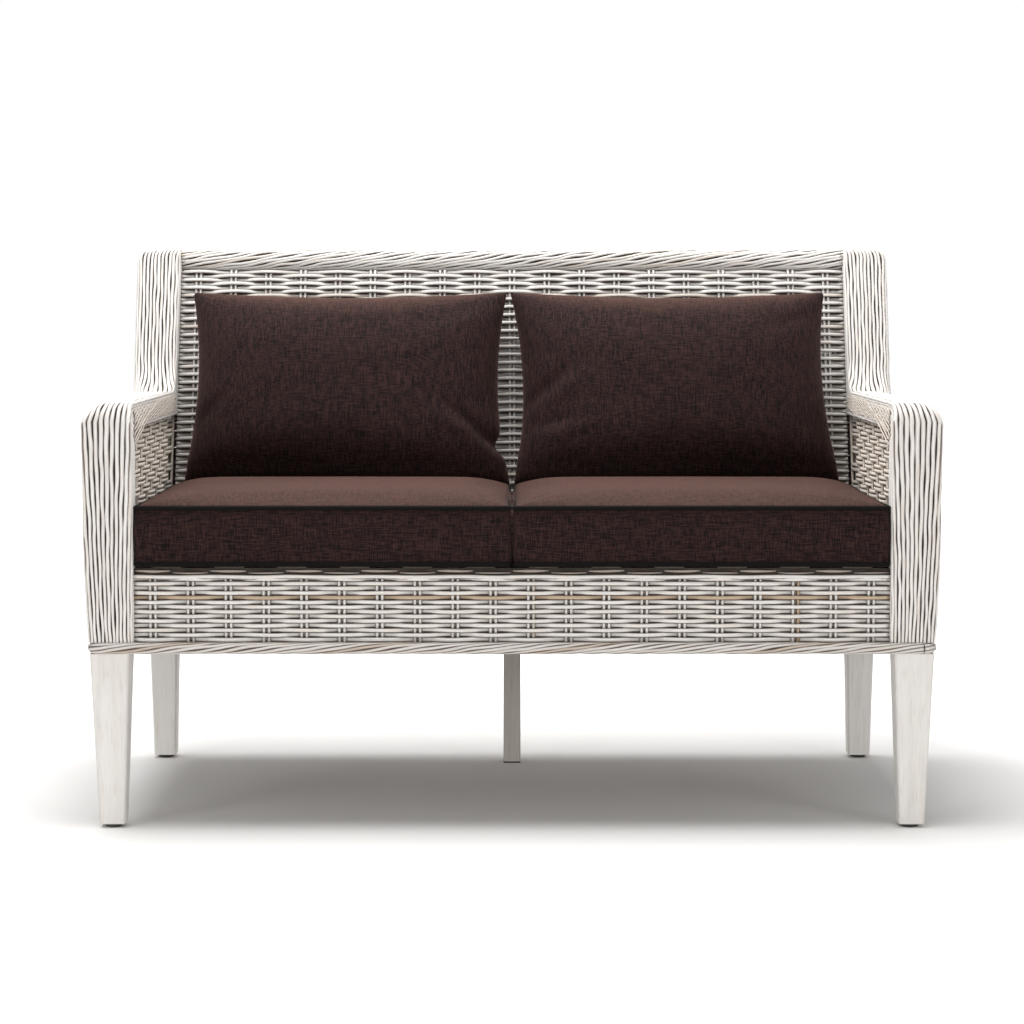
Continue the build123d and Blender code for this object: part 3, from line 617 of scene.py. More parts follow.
def ribbonPath():
    # depths and heights of the ribbon's outer and inner lines, with the shoulder radius at each place
    lean, armTop, backTop, under = body["lean"], body["armTop"], body["backTop"], body["bandUnder"]
    leanAngle = math.degrees(lean)
    nose, pit, bend, tip = ribbon["nose"], ribbon["armpit"], ribbon["bend"], ribbon["wingNose"]
    low, inner, rear = body["railTop"], ribbon["frontDepth"], body["depth"]
    ease = math.tan((math.pi / 2 - lean) / 2)
    bendStart = (body["wingFoot"] - bend * ease, armTop)
    bendEnd = (body["wingFoot"] + bend * ease * math.sin(lean), armTop + bend * ease * math.cos(lean))
    topDepth = leanDepth(0, backTop)
    wingEnd = (topDepth - tip * ease * math.sin(lean), backTop - tip * ease * math.cos(lean))
    hoodStart = (topDepth + tip * ease, backTop)
    wing = ribbon["wingDepth"]
    innerFoot = (leanDepth(wing, under), under)
    innerBend = (bendEnd[0] + wing * math.cos(lean), bendEnd[1] - wing * math.sin(lean))
    innerTop = (leanDepth(wing, body["rollUnder"]), body["rollUnder"])
    footStart = (innerFoot[0] - ribbon["bendFoot"], under)
    runs = []

    def stationsIn(length):
        return max(int(round(length / ribbon["step"])), 2)

    def add(outerRun, innerRun, fromRadius, toRadius):
        runs.append((outerRun, innerRun, np.linspace(fromRadius, toRadius, len(outerRun), endpoint=False)))

    def addHood(outerRun):
        shoulder = ribbon["topShoulder"]
        add(outerRun, straight(innerTop, innerTop, len(outerRun)), shoulder, shoulder)

    # up the arm's front, round its nose and back along its top
    n = stationsIn(armTop - nose - low)
    add(straight((0, low), (0, armTop - nose), n), straight((inner, low), (inner, under - pit), n),
        ribbon["edge"], ribbon["edge"])
    n = stationsIn(nose * math.pi / 2 + ribbon["noseEase"])
    add(arcRun((nose, armTop - nose), nose, 180, 90, n), arcRun((inner + pit, under - pit), pit, 180, 90, n),
        ribbon["edge"], ribbon["shoulder"])
    n = stationsIn(bendStart[0] - nose)
    add(straight((nose, armTop), bendStart, n), straight((inner + pit, under), footStart, n),
        ribbon["shoulder"], ribbon["shoulder"])
    # up the wing
    n = stationsIn(bend * (math.pi / 2 - lean))
    third = n // 3
    innerRun = np.concatenate([straight(footStart, innerFoot, third),
                               straight(innerFoot, innerBend, n - third)])
    add(arcRun((bendStart[0], armTop + bend), bend, -90, -leanAngle, n), innerRun,
        ribbon["shoulder"], ribbon["bendShoulder"])
    n = stationsIn(math.dist(bendEnd, wingEnd))
    add(straight(bendEnd, wingEnd, n), straight(innerBend, innerTop, n),
        ribbon["bendShoulder"], ribbon["topShoulder"])
    # over the top of the back and down behind it
    addHood(arcRun((hoodStart[0], backTop - tip), tip, 180 - leanAngle, 90, ribbon["tipStations"]))
    addHood(straight(hoodStart, (rear - tip, backTop), stationsIn(rear - tip - hoodStart[0])))
    addHood(arcRun((rear - tip, backTop - tip), tip, 90, 0, ribbon["rearStations"]))
    n = stationsIn(backTop - tip - body["rollUnder"]) + 1
    addHood(straight((rear, backTop - tip), (rear, body["rollUnder"]), n))
    return [np.concatenate(part) for part in zip(*runs)]


def ribbonSection(width, deep, shoulder, shares):
    # places round the section: up the inner side, over the face, down the outer side
    edge = ribbon["edge"]
    shoulder = min(shoulder, deep * ribbon["shoulderShare"])
    turn = np.linspace(0, math.pi / 2, ribbon["roundPlaces"])
    xs = np.concatenate([[0], edge - edge * np.cos(turn),
                         width - shoulder + shoulder * np.sin(turn), [width]])
    ds = np.concatenate([[deep], edge - edge * np.sin(turn),
                         shoulder - shoulder * np.cos(turn), [deep]])
    run = runAlong(np.stack([xs, ds], axis=1))
    at = shares * run[-1]
    return np.interp(at, run, xs), np.interp(at, run, ds), run[-1]


def wingRound(z):
    # the wing's outer top corner is rounded as seen from the front
    r = ribbon["wingCorner"]
    over = np.clip(z - (body["backTop"] - r), 0, r)
    return r - np.sqrt(r * r - over * over)


def ribbonGrid(shares):
    outer, inner, radii = ribbonPath()
    grid = np.empty((len(outer), len(shares), 3))
    lengths = np.empty(len(outer))
    for k in range(len(outer)):
        across = inner[k] - outer[k]
        deep = np.linalg.norm(across)
        width = sideReach(outer[k][1]) - body["halfOpening"]
        if k > len(outer) * ribbon["wingShare"]:
            width -= wingRound(outer[k][1])
        x, d, lengths[k] = ribbonSection(width, deep, radii[k], shares)
        way = across / deep
        grid[k] = stack(body["halfOpening"] + x, yOf(outer[k][0] + way[0] * d), outer[k][1] + way[1] * d)
    return grid, lengths


def ribbonStrands(sign, name):
    count = ribbon["strands"]
    shares = (np.arange(count) + 0.5) / count
    fine = 0.2 / count  # a fifth of a strand to each side gives its way across
    grid, lengths = ribbonGrid(shares)
    ahead, _ = ribbonGrid(np.clip(shares + fine, 0, 1))
    behind, _ = ribbonGrid(np.clip(shares - fine, 0, 1))
    strands = []
    stations = len(grid)
    pitch = lengths / count
    for j in range(count):
        points = grid[:, j].copy()
        across = unit(ahead[:, j] - behind[:, j])
        outwards = np.cross(across, unit(np.gradient(points, axis=0)))
        thick = ribbon["thickness"] * dice.uniform(*ribbon["thickSpread"])
        points -= outwards * (thick / 2)
        points += across * wander(stations, ribbon["step"], ribbon["wander"], ribbon["wave"])[:, None]
        points += outwards * wander(stations, ribbon["step"], ribbon["lift"], ribbon["liftWave"])[:, None]
        width = pitch * ribbon["fill"] * dice.uniform(*ribbon["widthSpread"])
        width = width + wander(stations, ribbon["step"], ribbon["swell"], ribbon["swellWave"])
        for rows in (points, across, outwards):
            rows[:, 0] *= sign
        strands.append(layStrand(points, across, outwards, width, thick, strandTone(), 8, ribbon["shadedEdge"]))
    whole = joinPieces(name + "_ribbon_strands", strands, caneWhite)
    core = ribbonCore(sign, name)
    fixWicker(whole, name + "_arm_front_wrap", name + "_arm_top_wrap", name + "_wing_wrap")
    fixWicker(core)


def ribbonCore(sign, name):
    # a dark body in painted shade under the strands, a little smaller than the ribbon
    outer, inner, _ = ribbonPath()
    count = ribbon["coreStrands"]
    grid, _ = ribbonGrid(np.linspace(0, 1, count))
    middle = stack(body["halfOpening"] + ribbon["coreMiddle"], yOf((outer[:, 0] + inner[:, 0]) / 2),
                   (outer[:, 1] + inner[:, 1]) / 2)
    pattern = strandPattern(len(outer), count)
    rings = pattern["ring"]
    order = np.argsort(np.argsort(pattern["turn"][rings == 0]))
    place = np.empty((len(rings), 3))
    for k in range(len(outer)):
        place[rings == k] = (grid[k] + unit(middle[k] - grid[k]) * ribbon["coreInset"])[order]
    place[:, 0] *= sign
    mesh = pattern["mesh"].copy()
    setCoords(mesh, place)
    core = bpy.data.objects.new("core", mesh)
    bpy.context.collection.objects.link(core)
    return joinPieces(name + "_ribbon_core", [core], shadeCoreCane)


# Strands wound round the arm, seen as slanted stitches on its inner side

band = {
    "lead": 0.230,
    "end": 0.045,
    "first": 0.028,
    "past": 0.060,
    "inFromFront": 0.004,
    "above": 0.003,
    "below": 0.008,
    "pitch": 0.036,
    "slant": 0.280,
    "stations": 30,
    "step": 0.009,
    "width": 0.0047,
    "thickness": 0.0044,
    "proud": 0.0002,
    "tuck": 0.0022,
    "jitter": 0.001,
    "wander": 0.0012,
    "wave": 0.04,
    "tone": 0.3,
    "shadedEdge": 0.24,
}


def bandFloor(t):
    # underside of the ribbon at a depth
    ahead = ribbon["frontDepth"] + ribbon["armpit"] - t
    if ahead <= 0:
        return body["bandUnder"]
    return body["bandUnder"] - ribbon["armpit"] + math.sqrt(max(ribbon["armpit"] ** 2 - ahead**2, 0))


def bandWraps(sign, name):
    last = leanDepth(0, body["bandUnder"]) - band["end"]
    count = band["stations"]
    share = np.linspace(0, 1, count)
    # each stitch lies just proud of the arm's inner side, and tucks in at its ends
    x = body["halfOpening"] - band["proud"] + band["tuck"] * (2 * share - 1) ** 6
    strands = []
    for t in np.arange(ribbon["frontDepth"] - band["lead"], last, band["pitch"]):
        depth = t + band["slant"] * share
        low = bandFloor(max(t, ribbon["frontDepth"] + band["inFromFront"]))
        z = low + band["above"] + (body["armTop"] - band["below"] - low) * share
        z = z + dice.uniform(-band["jitter"], band["jitter"])
        z = z + wander(count, band["step"], band["wander"], band["wave"])
        keep = (depth > band["first"]) & (depth < last + band["past"])
        if keep.sum() < 4:
            continue
        points = stack(sign * x, yOf(depth), z)[keep]
        across = everywhere((0, 0, 1), len(points))
        outward = everywhere((-sign, 0, 0), len(points))
        strands.append(layStrand(points, across, outward, band["width"], band["thickness"],
                                 band["tone"] * dice.uniform(), 6, band["shadedEdge"]))
    fixWicker(joinPieces(name + "_arm_band_strands", strands, caneWarmLit))


for sideName, sideSign in (("right", 1), ("left", -1)):
    ribbonStrands(sideSign, sideName)
    bandWraps(sideSign, sideName)
print("arm and wing ribbons are wrapped")


# Woven walls

weave = {
    "pairPitch": 0.0573,
    "backPitch": 0.063,
    "spacing": 0.008,
    "stake": 0.0052,
    "stakeStep": 0.02,
    "shadedEdge": 0.16,
    "rowPitch": 0.0073,
    "height": 0.0073,
    "thickness": 0.0046,
    "reach": 0.0043,
    "perPair": 8,
    "highSpread": (0.95, 1.05),
    "thickSpread": (0.92, 1.06),
    "crossing": 0.05,
    "sway": (0.0003, 0.09),
    "drift": (0.0005, 0.13),
    "shortest": 0.012,
    "shortestStake": 0.01,
    "tanTone": 0.95,
    "paleTone": 0.4,
}


def weaverRow(place, row, high, first, last, pairs, height, thick, reach, tone):
    # one weaver, over and under each pair of stakes by turns
    pitch = pairs[1] - pairs[0]
    length = last - first
    stations = max(int(round(length / pitch * weave["perPair"])), 4) + 1
    a = np.linspace(first, last, stations)
    step = length / (stations - 1)
    sign = 1 if row % 2 == 0 else -1
    swing = np.cos(math.pi * (a - pairs[0]) / pitch)
    swing = np.sign(swing) * np.abs(swing) ** 0.8
    c = sign * reach * swing + wander(stations, step, *weave["sway"])
    b = high + wander(stations, step, *weave["drift"])
    points = place(a, b, c)
    across = unit(place(a, b + nudge, c) - place(a, b - nudge, c))
    outward = place(a, b, c + nudge) - points
    wide = height * dice.uniform(*weave["highSpread"]) * (1 + weave["crossing"] * (1 - np.abs(swing)))
    thick = thick * dice.uniform(*weave["thickSpread"])
    return layStrand(points, across, outward, wide, thick, tone, 6, weave["shadedEdge"])


def stakeStrand(place, a, low, high, size):
    stations = max(int(round((high - low) / weave["stakeStep"])), 2) + 1
    b = np.linspace(low, high, stations)
    c = np.zeros(stations)
    points = place(a + c, b, c)
    across = unit(place(a + nudge + c, b, c) - place(a - nudge + c, b, c))
    outward = place(a + c, b, c + nudge) - points
    return layStrand(points, across, outward, size, size, strandTone())


def wovenWall(name, node, material, place, pairs, rowHeights, spanOf, stakeSpanOf,
              height=weave["height"], reach=weave["reach"], tanAt=None, together=1):
    # rows of weavers over pairs of stakes; together says how many rows in turn go the same way
    strands = []
    for row, high in enumerate(rowHeights):
        first, last = spanOf(high)
        if last - first > weave["shortest"]:
            tone = strandTone()
            if tanAt is not None:
                isTan = abs(high - tanAt) < weave["rowPitch"] / 2
                tone = weave["tanTone"] if isTan else min(tone, weave["paleTone"])
            strands.append(weaverRow(place, row // together, high, first, last, pairs, height,
                                     weave["thickness"], reach, tone))
    for middle in pairs:
        for a in (middle - weave["spacing"] / 2, middle + weave["spacing"] / 2):
            low, top = stakeSpanOf(a)
            if top - low > weave["shortestStake"]:
                strands.append(stakeStrand(place, a, low, top, weave["stake"]))
    fixWicker(joinPieces(name, strands, material), node)


innerRows = {"top": 0.3790, "behind": 0.0084, "height": 0.0082, "thickness": 0.0024, "end": 0.002,
             "step": 0.02, "wander": 0.0004, "wave": 0.11}


def innerLayer(name, place, first, last):
    # flat strands inside the lower rows, coloured a dark painted shade, which close the view under the seat
    stations = int(round((last - first) / innerRows["step"])) + 1
    a = np.linspace(first + innerRows["end"], last - innerRows["end"], stations)
    back = np.full(stations, -innerRows["behind"])
    strands = []
    for high in evenPlaces(body["railTop"] + innerRows["end"], innerRows["top"], weave["rowPitch"]):
        b = high + wander(stations, innerRows["step"], innerRows["wander"], innerRows["wave"])
        points = place(a, b, back)
        outward = (place(a, b, back + nudge) - points) / nudge
        strands.append(layStrand(points, everywhere((0, 0, 1), stations), outward, innerRows["height"],
                                 innerRows["thickness"], 1.0))
    fixWicker(joinPieces(name, strands, innerShadeCane))


opening = body["halfOpening"]

apron = {"depth": 0.014, "under": 0.012, "height": 0.0074, "reach": 0.0046, "tanRow": 0.3625}


def apronPlace(a, b, c):
    return stack(a, yOf(apron["depth"]) - c, b)


edgeUnder = body["seatFrameTop"] - apron["under"]
wovenWall("front_apron_weave", "front_apron", caneWhite, apronPlace,
          evenPlaces(-opening, opening, weave["pairPitch"]),
          evenPlaces(body["railTop"], edgeUnder, weave["rowPitch"]),
          lambda b: (-opening, opening), lambda a: (body["railTop"], edgeUnder),
          height=apron["height"], reach=apron["reach"], tanAt=apron["tanRow"])
innerLayer("apron_inner_rows", apronPlace, -opening, opening)


rearWall = {"depth": 0.676, "end": 0.050}


def rearPlace(a, b, c):
    return stack(a, yOf(rearWall["depth"]) + c, b)


rearReach = body["halfWidth"] - rearWall["end"]
wovenWall("rear_wall_weave", "rear_wall", caneWhite, rearPlace,
          evenPlaces(-rearReach, rearReach, weave["backPitch"]),
          evenPlaces(body["railTop"], body["rollUnder"], weave["rowPitch"]),
          lambda b: (-rearReach, rearReach), lambda a: (body["railTop"], body["rollUnder"]))
innerLayer("rear_inner_rows", rearPlace, -rearReach, rearReach)


lean = body["lean"]
backWall = {"front": 0.019, "middle": 0.0255, "lowest": 0.003}


def backPlace(a, b, c):
    depth = leanDepth(backWall["middle"], b) - c * math.cos(lean)
    return stack(a, yOf(depth), b + c * math.sin(lean))


def backFront(z):
    return leanDepth(backWall["front"], z)


backLow = body["seatFrameTop"] + backWall["lowest"]
wovenWall("back_inner_weave", "back_inner_wall", caneWhite, backPlace,
          evenPlaces(-opening, opening, weave["backPitch"]),
          evenPlaces(backLow, body["rollUnder"], weave["rowPitch"] * math.cos(lean)),
          lambda b: (-opening, opening), lambda a: (body["seatFrameTop"], body["rollUnder"]))


sideWall = {"inner": 0.0105, "innerReach": 0.0040, "innerEnd": 0.0005, "outer": 0.0145, "rear": 0.038,
            "wingRear": 0.006, "wingReach": 0.003, "clear": 0.003}

innerCorner = {"places": ((0.0060, 0.0026), (0.0125, 0.0010)), "stations": 14, "width": 0.0062,
               "thickness": 0.0046, "tone": 0.5, "shadedEdge": 0.3}


def pitDepth(z):
    # depth of the ribbon's inner line at a height, round the curve under the arm
    up = z + sideWall["clear"] - (body["bandUnder"] - ribbon["armpit"])
    if up <= 0:
        return ribbon["frontDepth"]
    up = min(up, ribbon["armpit"])
    return ribbon["frontDepth"] + ribbon["armpit"] - math.sqrt(ribbon["armpit"] ** 2 - up**2)


def cornerStrands(sign, name):
    # a pair of leaning strands in the corner between the arm and the back
    count = innerCorner["stations"]
    z = np.linspace(body["seatFrameTop"], body["bandUnder"], count)
    strands = []
    for aside, ahead in innerCorner["places"]:
        points = stack(sign * (opening + aside), yOf(backFront(z) - ahead), z)
        strands.append(layStrand(points, everywhere((1, 0, 0), count), everywhere((0, -1, 0), count),
                                 innerCorner["width"], innerCorner["thickness"], innerCorner["tone"], 6,
                                 innerCorner["shadedEdge"]))
    fixWicker(joinPieces(name + "_inner_corner_strands", strands, caneWarmLit))


def sideWalls(sign, name):
    seatTop, under, front = body["seatFrameTop"], body["bandUnder"], ribbon["frontDepth"]
    rear = body["depth"] - sideWall["rear"]

    def innerPlace(a, b, c):
        return stack(sign * (opening + sideWall["inner"] - c), yOf(a), b)

    def outerPlace(a, b, c):
        return stack(sign * (sideReach(b) - sideWall["outer"] + c), yOf(a), b)

    def wingStake(a):
        if a >= rear:
            return 0, 0
        stop = body["armTop"] + (a - leanDepth(ribbon["wingDepth"], body["armTop"])) / math.tan(lean)
        return under, min(stop, body["rollUnder"])

    wovenWall(name + "_arm_inner_weave", name + "_arm_inner_wall", caneWarmLit, innerPlace,
              evenPlaces(front, backFront(seatTop), weave["pairPitch"]),
              evenPlaces(seatTop, under, weave["rowPitch"]),
              lambda b: (pitDepth(b), backFront(b) - sideWall["innerEnd"]), lambda a: (seatTop, bandFloor(a)),
              reach=sideWall["innerReach"], together=2)
    cornerStrands(sign, name)
    wovenWall(name + "_arm_outer_weave", name + "_arm_outer_wall", caneWhite, outerPlace,
              evenPlaces(front, rear, weave["pairPitch"]),
              evenPlaces(body["railTop"], under, weave["rowPitch"]),
              lambda b: (pitDepth(b), rear), lambda a: (body["railTop"], bandFloor(a)))
    innerLayer(name + "_side_inner_rows", outerPlace, front, rear)
    wingPair = rear - sideWall["wingRear"]
    wovenWall(name + "_wing_side_weave", name + "_wing_side_wall", caneWhite, outerPlace,
              np.array([wingPair, wingPair + weave["pairPitch"]]),
              evenPlaces(under, body["rollUnder"], weave["rowPitch"]),
              lambda b: (leanDepth(ribbon["wingDepth"], b + sideWall["clear"]), rear), wingStake,
              reach=sideWall["wingReach"])


for sideName, sideSign in (("right", 1), ("left", -1)):
    sideWalls(sideSign, sideName)
print("walls are woven")


# Rear corner wraps: upright strands round each rear corner

corner = {
    "strands": 14,
    "width": 0.050,
    "deep": 0.038,
    "round": 0.007,
    "roundPlaces": 7,
    "thickness": 0.005,
    "widthSpread": (0.92, 1.06),
    "above": 0.008,
    "step": 0.012,
    "wander": 0.0008,
    "wave": 0.12,
    "coreInset": 0.0045,
    "coreBehind": 0.002,
    "coreEnd": 0.001,
    "coreCuts": 24,
}


def cornerWrap(sign, name):
    count = corner["strands"]
    low, top = body["railTop"], body["rollUnder"] + corner["above"]
    stations = int(round((top - low) / corner["step"])) + 1
    z = np.linspace(low, top, stations)
    r = corner["round"]
    turn = np.linspace(0, math.pi / 2, corner["roundPlaces"])
    xs = np.concatenate([[0], corner["width"] - r + r * np.sin(turn), [corner["width"]]])
    ds = np.concatenate([[0], r - r * np.cos(turn), [corner["deep"]]])
    run = runAlong(np.stack([xs, ds], axis=1))
    strands = []
    for j in range(count):
        at = (j + 0.5) / count * run[-1]
        x, d = np.interp(at, run, xs), np.interp(at, run, ds)
        x2, d2 = np.interp(at + nudge, run, xs), np.interp(at + nudge, run, ds)
        slide = (sideReach(z) - body["halfWidth"]) * (x / corner["width"])
        across = everywhere((sign * (x2 - x), -(d2 - d), 0), stations) / nudge
        outwards = everywhere((sign * (d2 - d), x2 - x, 0), stations) / nudge
        points = stack(sign * (body["halfWidth"] - corner["width"] + x + slide), yOf(body["depth"] - d), z)
        points -= outwards * corner["thickness"] / 2
        points += across * wander(stations, corner["step"], corner["wander"], corner["wave"])[:, None]
        width = run[-1] / count * dice.uniform(*corner["widthSpread"])
        strands.append(layStrand(points, across, outwards, width, corner["thickness"], strandTone(), 8))
    fixWicker(joinPieces(name + "_rear_corner_strands", strands, caneWhite), name + "_rear_corner_wrap")


def cornerCore(sign, name):
    # a dark post in painted shade under the strands
    inset, behind, end = corner["coreInset"], corner["coreBehind"], corner["coreEnd"]
    low, top = body["railTop"] + end, body["rollUnder"] + corner["above"] - end
    x0, x1 = body["halfWidth"] - corner["width"] + behind, body["halfWidth"] - inset
    y0, y1 = yOf(body["depth"] - corner["deep"] + behind), yOf(body["depth"] - inset)
    post = addBox((sign * (x0 + x1) / 2, (y0 + y1) / 2, (low + top) / 2), (x1 - x0, y1 - y0, top - low))
    startEdit()
    bpy.ops.mesh.subdivide(number_cuts=corner["coreCuts"])
    endEdit()
    for vertex in post.data.vertices:
        share = (abs(vertex.co.x) - x0) / (x1 - x0)
        vertex.co.x += sign * (sideReach(vertex.co.z) - body["halfWidth"]) * share
    fixCore(post, name + "_rear_corner_core")


for sideName, sideSign in (("right", 1), ("left", -1)):
    cornerWrap(sideSign, sideName)
    cornerCore(sideSign, sideName)


# Top roll: strands that twist slowly along the back

roll = {
    "strands": 26,
    "front": 0.637,
    "round": 0.016,
    "roundPlaces": 7,
    "lay": -0.80,
    "step": 0.008,
    "thickness": 0.0052,
    "widthSpread": (0.95, 1.08),
    "wander": 0.0018,
    "wave": 0.10,
    "shareAhead": 0.002,
    "coreInset": 0.0045,
    "coreEnd": 0.001,
    "coreRound": 0.011,
}


def roundedBox(shares, width, height, radius):
    # places round a rounded rectangle, by share of its length
    turn = np.linspace(0, math.pi / 2, roll["roundPlaces"])
    xs, zs = [], []
    for k, (cx, cz) in enumerate(((1, 1), (-1, 1), (-1, -1), (1, -1))):
        xs.append(cx * (width / 2 - radius) + radius * np.cos(turn + k * math.pi / 2))
        zs.append(cz * (height / 2 - radius) + radius * np.sin(turn + k * math.pi / 2))
    xs = np.concatenate(xs + [xs[0][:1]])
    zs = np.concatenate(zs + [zs[0][:1]])
    run = runAlong(np.stack([xs, zs], axis=1))
    at = (shares % 1) * run[-1]
    return np.interp(at, run, xs), np.interp(at, run, zs), run[-1]


def topRoll():
    height = body["backTop"] - body["rollUnder"]
    width = body["depth"] - roll["front"]
    midDepth = (body["depth"] + roll["front"]) / 2
    midHigh = (body["backTop"] + body["rollUnder"]) / 2
    x = np.linspace(-opening, opening, int(round(2 * opening / roll["step"])) + 1)
    count, thick = roll["strands"], roll["thickness"]
    section = (width - thick, height - thick, roll["round"] - thick / 2)
    strands = []
    for j in range(count):
        shares = j / count + x / roll["lay"]
        _, _, around = roundedBox(shares, *section)
        shares = shares + wander(len(x), roll["step"], roll["wander"], roll["wave"]) / around
        d, h, _ = roundedBox(shares, *section)
        d2, h2, _ = roundedBox(shares + roll["shareAhead"], *section)
        points = stack(x, yOf(midDepth + d), midHigh + h)
        strandWidth = around / count * dice.uniform(*roll["widthSpread"])
        strands.append(layStrand(points, unit(stack(0, d2 - d, h2 - h)), stack(0 * x, d, h), strandWidth,
                                 thick, strandTone(), 8))
    fixWicker(joinPieces("top_roll_strands", strands, caneWhite), "top_roll")
    # a dark core in painted shade under the roll's strands
    inset = 2 * roll["coreInset"]
    core = addBox((0, yOf(midDepth), midHigh),
                  (2 * (opening - roll["coreEnd"]), width - inset, height - inset))
    finishWith(core, "BEVEL", width=roll["coreRound"], segments=4)
    fixCore(core, "top_roll_core")


topRoll()


# Rope border round the bottom

rope = {
    "diameter": 0.018,
    "strands": 9,
    "lay": 0.33,
    "step": 0.006,
    "corner": 0.014,
    "cornerPlaces": 7,
    "front": 0.003,
    "proud": 0.003,
    "width": 0.0058,
    "widthSpread": (0.9, 1.05),
    "thickness": 0.0046,
    "wander": 0.0010,
    "wave": 0.09,
    "shadedEdge": 0.32,
    "still": 0.05,  # the strands run true near the loop's ends, so that they meet
    "coreShare": 0.62,
    "coreTone": 0.2,
}


def ropePath():
    # a closed loop with rounded corners, from the front right corner round by the rear
    x = sideReach(body["railTop"]) + rope["proud"] - rope["diameter"] / 2
    y = yOf(rope["front"])
    r = rope["corner"]
    arcs = [arcRun((sx * (x - r), sy * (-y - r)), r, start, start + 90, rope["cornerPlaces"], True)
            for sx, sy, start in ((1, -1, -90), (1, 1, 0), (-1, 1, 90), (-1, -1, 180))]
    loop = np.concatenate(arcs + [arcs[0][:1]])
    run = runAlong(loop)
    at = np.linspace(0, run[-1], int(round(run[-1] / rope["step"])) + 1)
    return np.interp(at, run, loop[:, 0]), np.interp(at, run, loop[:, 1]), at


def ropeBorder():
    x, y, run = ropePath()
    centre = stack(x, y, (body["legTop"] + body["railTop"]) / 2)
    along = unit(np.gradient(centre, axis=0))
    up = everywhere((0, 0, 1), len(x))
    side = unit(np.cross(along, up))
    turns = round(run[-1] / rope["lay"])
    radius = (rope["diameter"] - rope["thickness"]) / 2
    strands = []
    for j in range(rope["strands"]):
        drift = wander(len(run), rope["step"], rope["wander"], rope["wave"]) / radius
        drift *= np.clip(np.minimum(run, run[-1] - run) / rope["still"], 0, 1)
        angle = 2 * math.pi * (turns * run / run[-1] + j / rope["strands"]) + drift
        way = side * np.cos(angle)[:, None] + up * np.sin(angle)[:, None]
        across = -side * np.sin(angle)[:, None] + up * np.cos(angle)[:, None]
        width = rope["width"] * dice.uniform(*rope["widthSpread"])
        strands.append(layStrand(centre + way * radius, across, way, width, rope["thickness"],
                                 strandTone(), 8, rope["shadedEdge"]))
    # a dark heart in painted shade, seen between the rope's strands
    thick = rope["diameter"] * rope["coreShare"]
    heart = layStrand(centre, up, side, thick, thick, rope["coreTone"], 8)
    fixWicker(joinPieces("rope_border_core", [heart], shadeCoreCane))
    fixWicker(joinPieces("rope_border", strands, caneWhite),
              "border_front", "border_rear", "border_left", "border_right")


# Wrapped edge over the apron: a last row, and two rows of tapering dashes in the cushions' shadow, dimmed
# with painted shade

apronTop = {
    "ahead": 0.0044,
    "rowLow": 0.0122,
    "row": {"height": 0.0070, "thick": 0.0042, "reach": 0.0006, "tone": 0.3},
    "dashes": ((1, 0.0032, 0.0040), (-1, 0.0062, 0.0018)),
    "dashReach": 0.0053,
    "dashLeast": 0.0014,
    "dashThick": 0.0034,
    # painted shade: the dashes are dimmer and edged darker, as they lie in the cushions' shadow
    "dashShadeTone": 0.78,
    "dashShadedEdge": 0.55,
    "stations": 321,
    "step": 0.004,
    "wander": 0.0005,
    "wave": 0.12,
    "swell": 0.2,
    "swellWave": 0.09,
    "barDepth": 0.0150,
    "barLow": 0.006,
    "barEnd": 0.0005,
    "barSize": (0.006, 0.0115),
}


def apronEdge():
    pairs = evenPlaces(-opening, opening, weave["pairPitch"])
    top = body["seatFrameTop"]
    count = apronTop["stations"]

    def inFront(a, b, c):
        return apronPlace(a, b, c + apronTop["ahead"])

    rows = [weaverRow(inFront, 1, top - apronTop["rowLow"], -opening, opening, pairs, **apronTop["row"])]
    a = np.linspace(-opening, opening, count)
    swing = np.cos(math.pi * (a - pairs[0]) / (pairs[1] - pairs[0]))
    for side, low, width in apronTop["dashes"]:
        high = top - low + wander(count, apronTop["step"], apronTop["wander"], apronTop["wave"])
        points = apronPlace(a, high, apronTop["dashReach"] * side * swing)
        swell = np.clip(side * swing, 0, 1) ** 0.6
        swell = swell * (1 + wander(count, apronTop["step"], apronTop["swell"], apronTop["swellWave"]))
        rows.append(layStrand(points, everywhere((0, 0, 1), count), everywhere((0, -1, 0), count),
                              apronTop["dashLeast"] + width * swell, apronTop["dashThick"],
                              apronTop["dashShadeTone"], 6, apronTop["dashShadedEdge"]))
    whole = joinPieces("apron_edge_strands", rows, caneWhite)
    # a dark bar in painted shade behind the edge, under the cushions
    bar = addBox((0, yOf(apronTop["barDepth"]), top - apronTop["barLow"]),
                 (2 * (opening - apronTop["barEnd"]), *apronTop["barSize"]))
    fixWicker(whole, "apron_edge")
    fixCore(bar, "apron_edge_core")


ropeBorder()
apronEdge()
print("roll, rope and edge are laid")


# Cushions

cover = {
    "frames": 20,
    "quality": 4,
    "mass": 0.3,
    "stretch": 12,
    "shear": 5,
    "bending": 0.4,
}


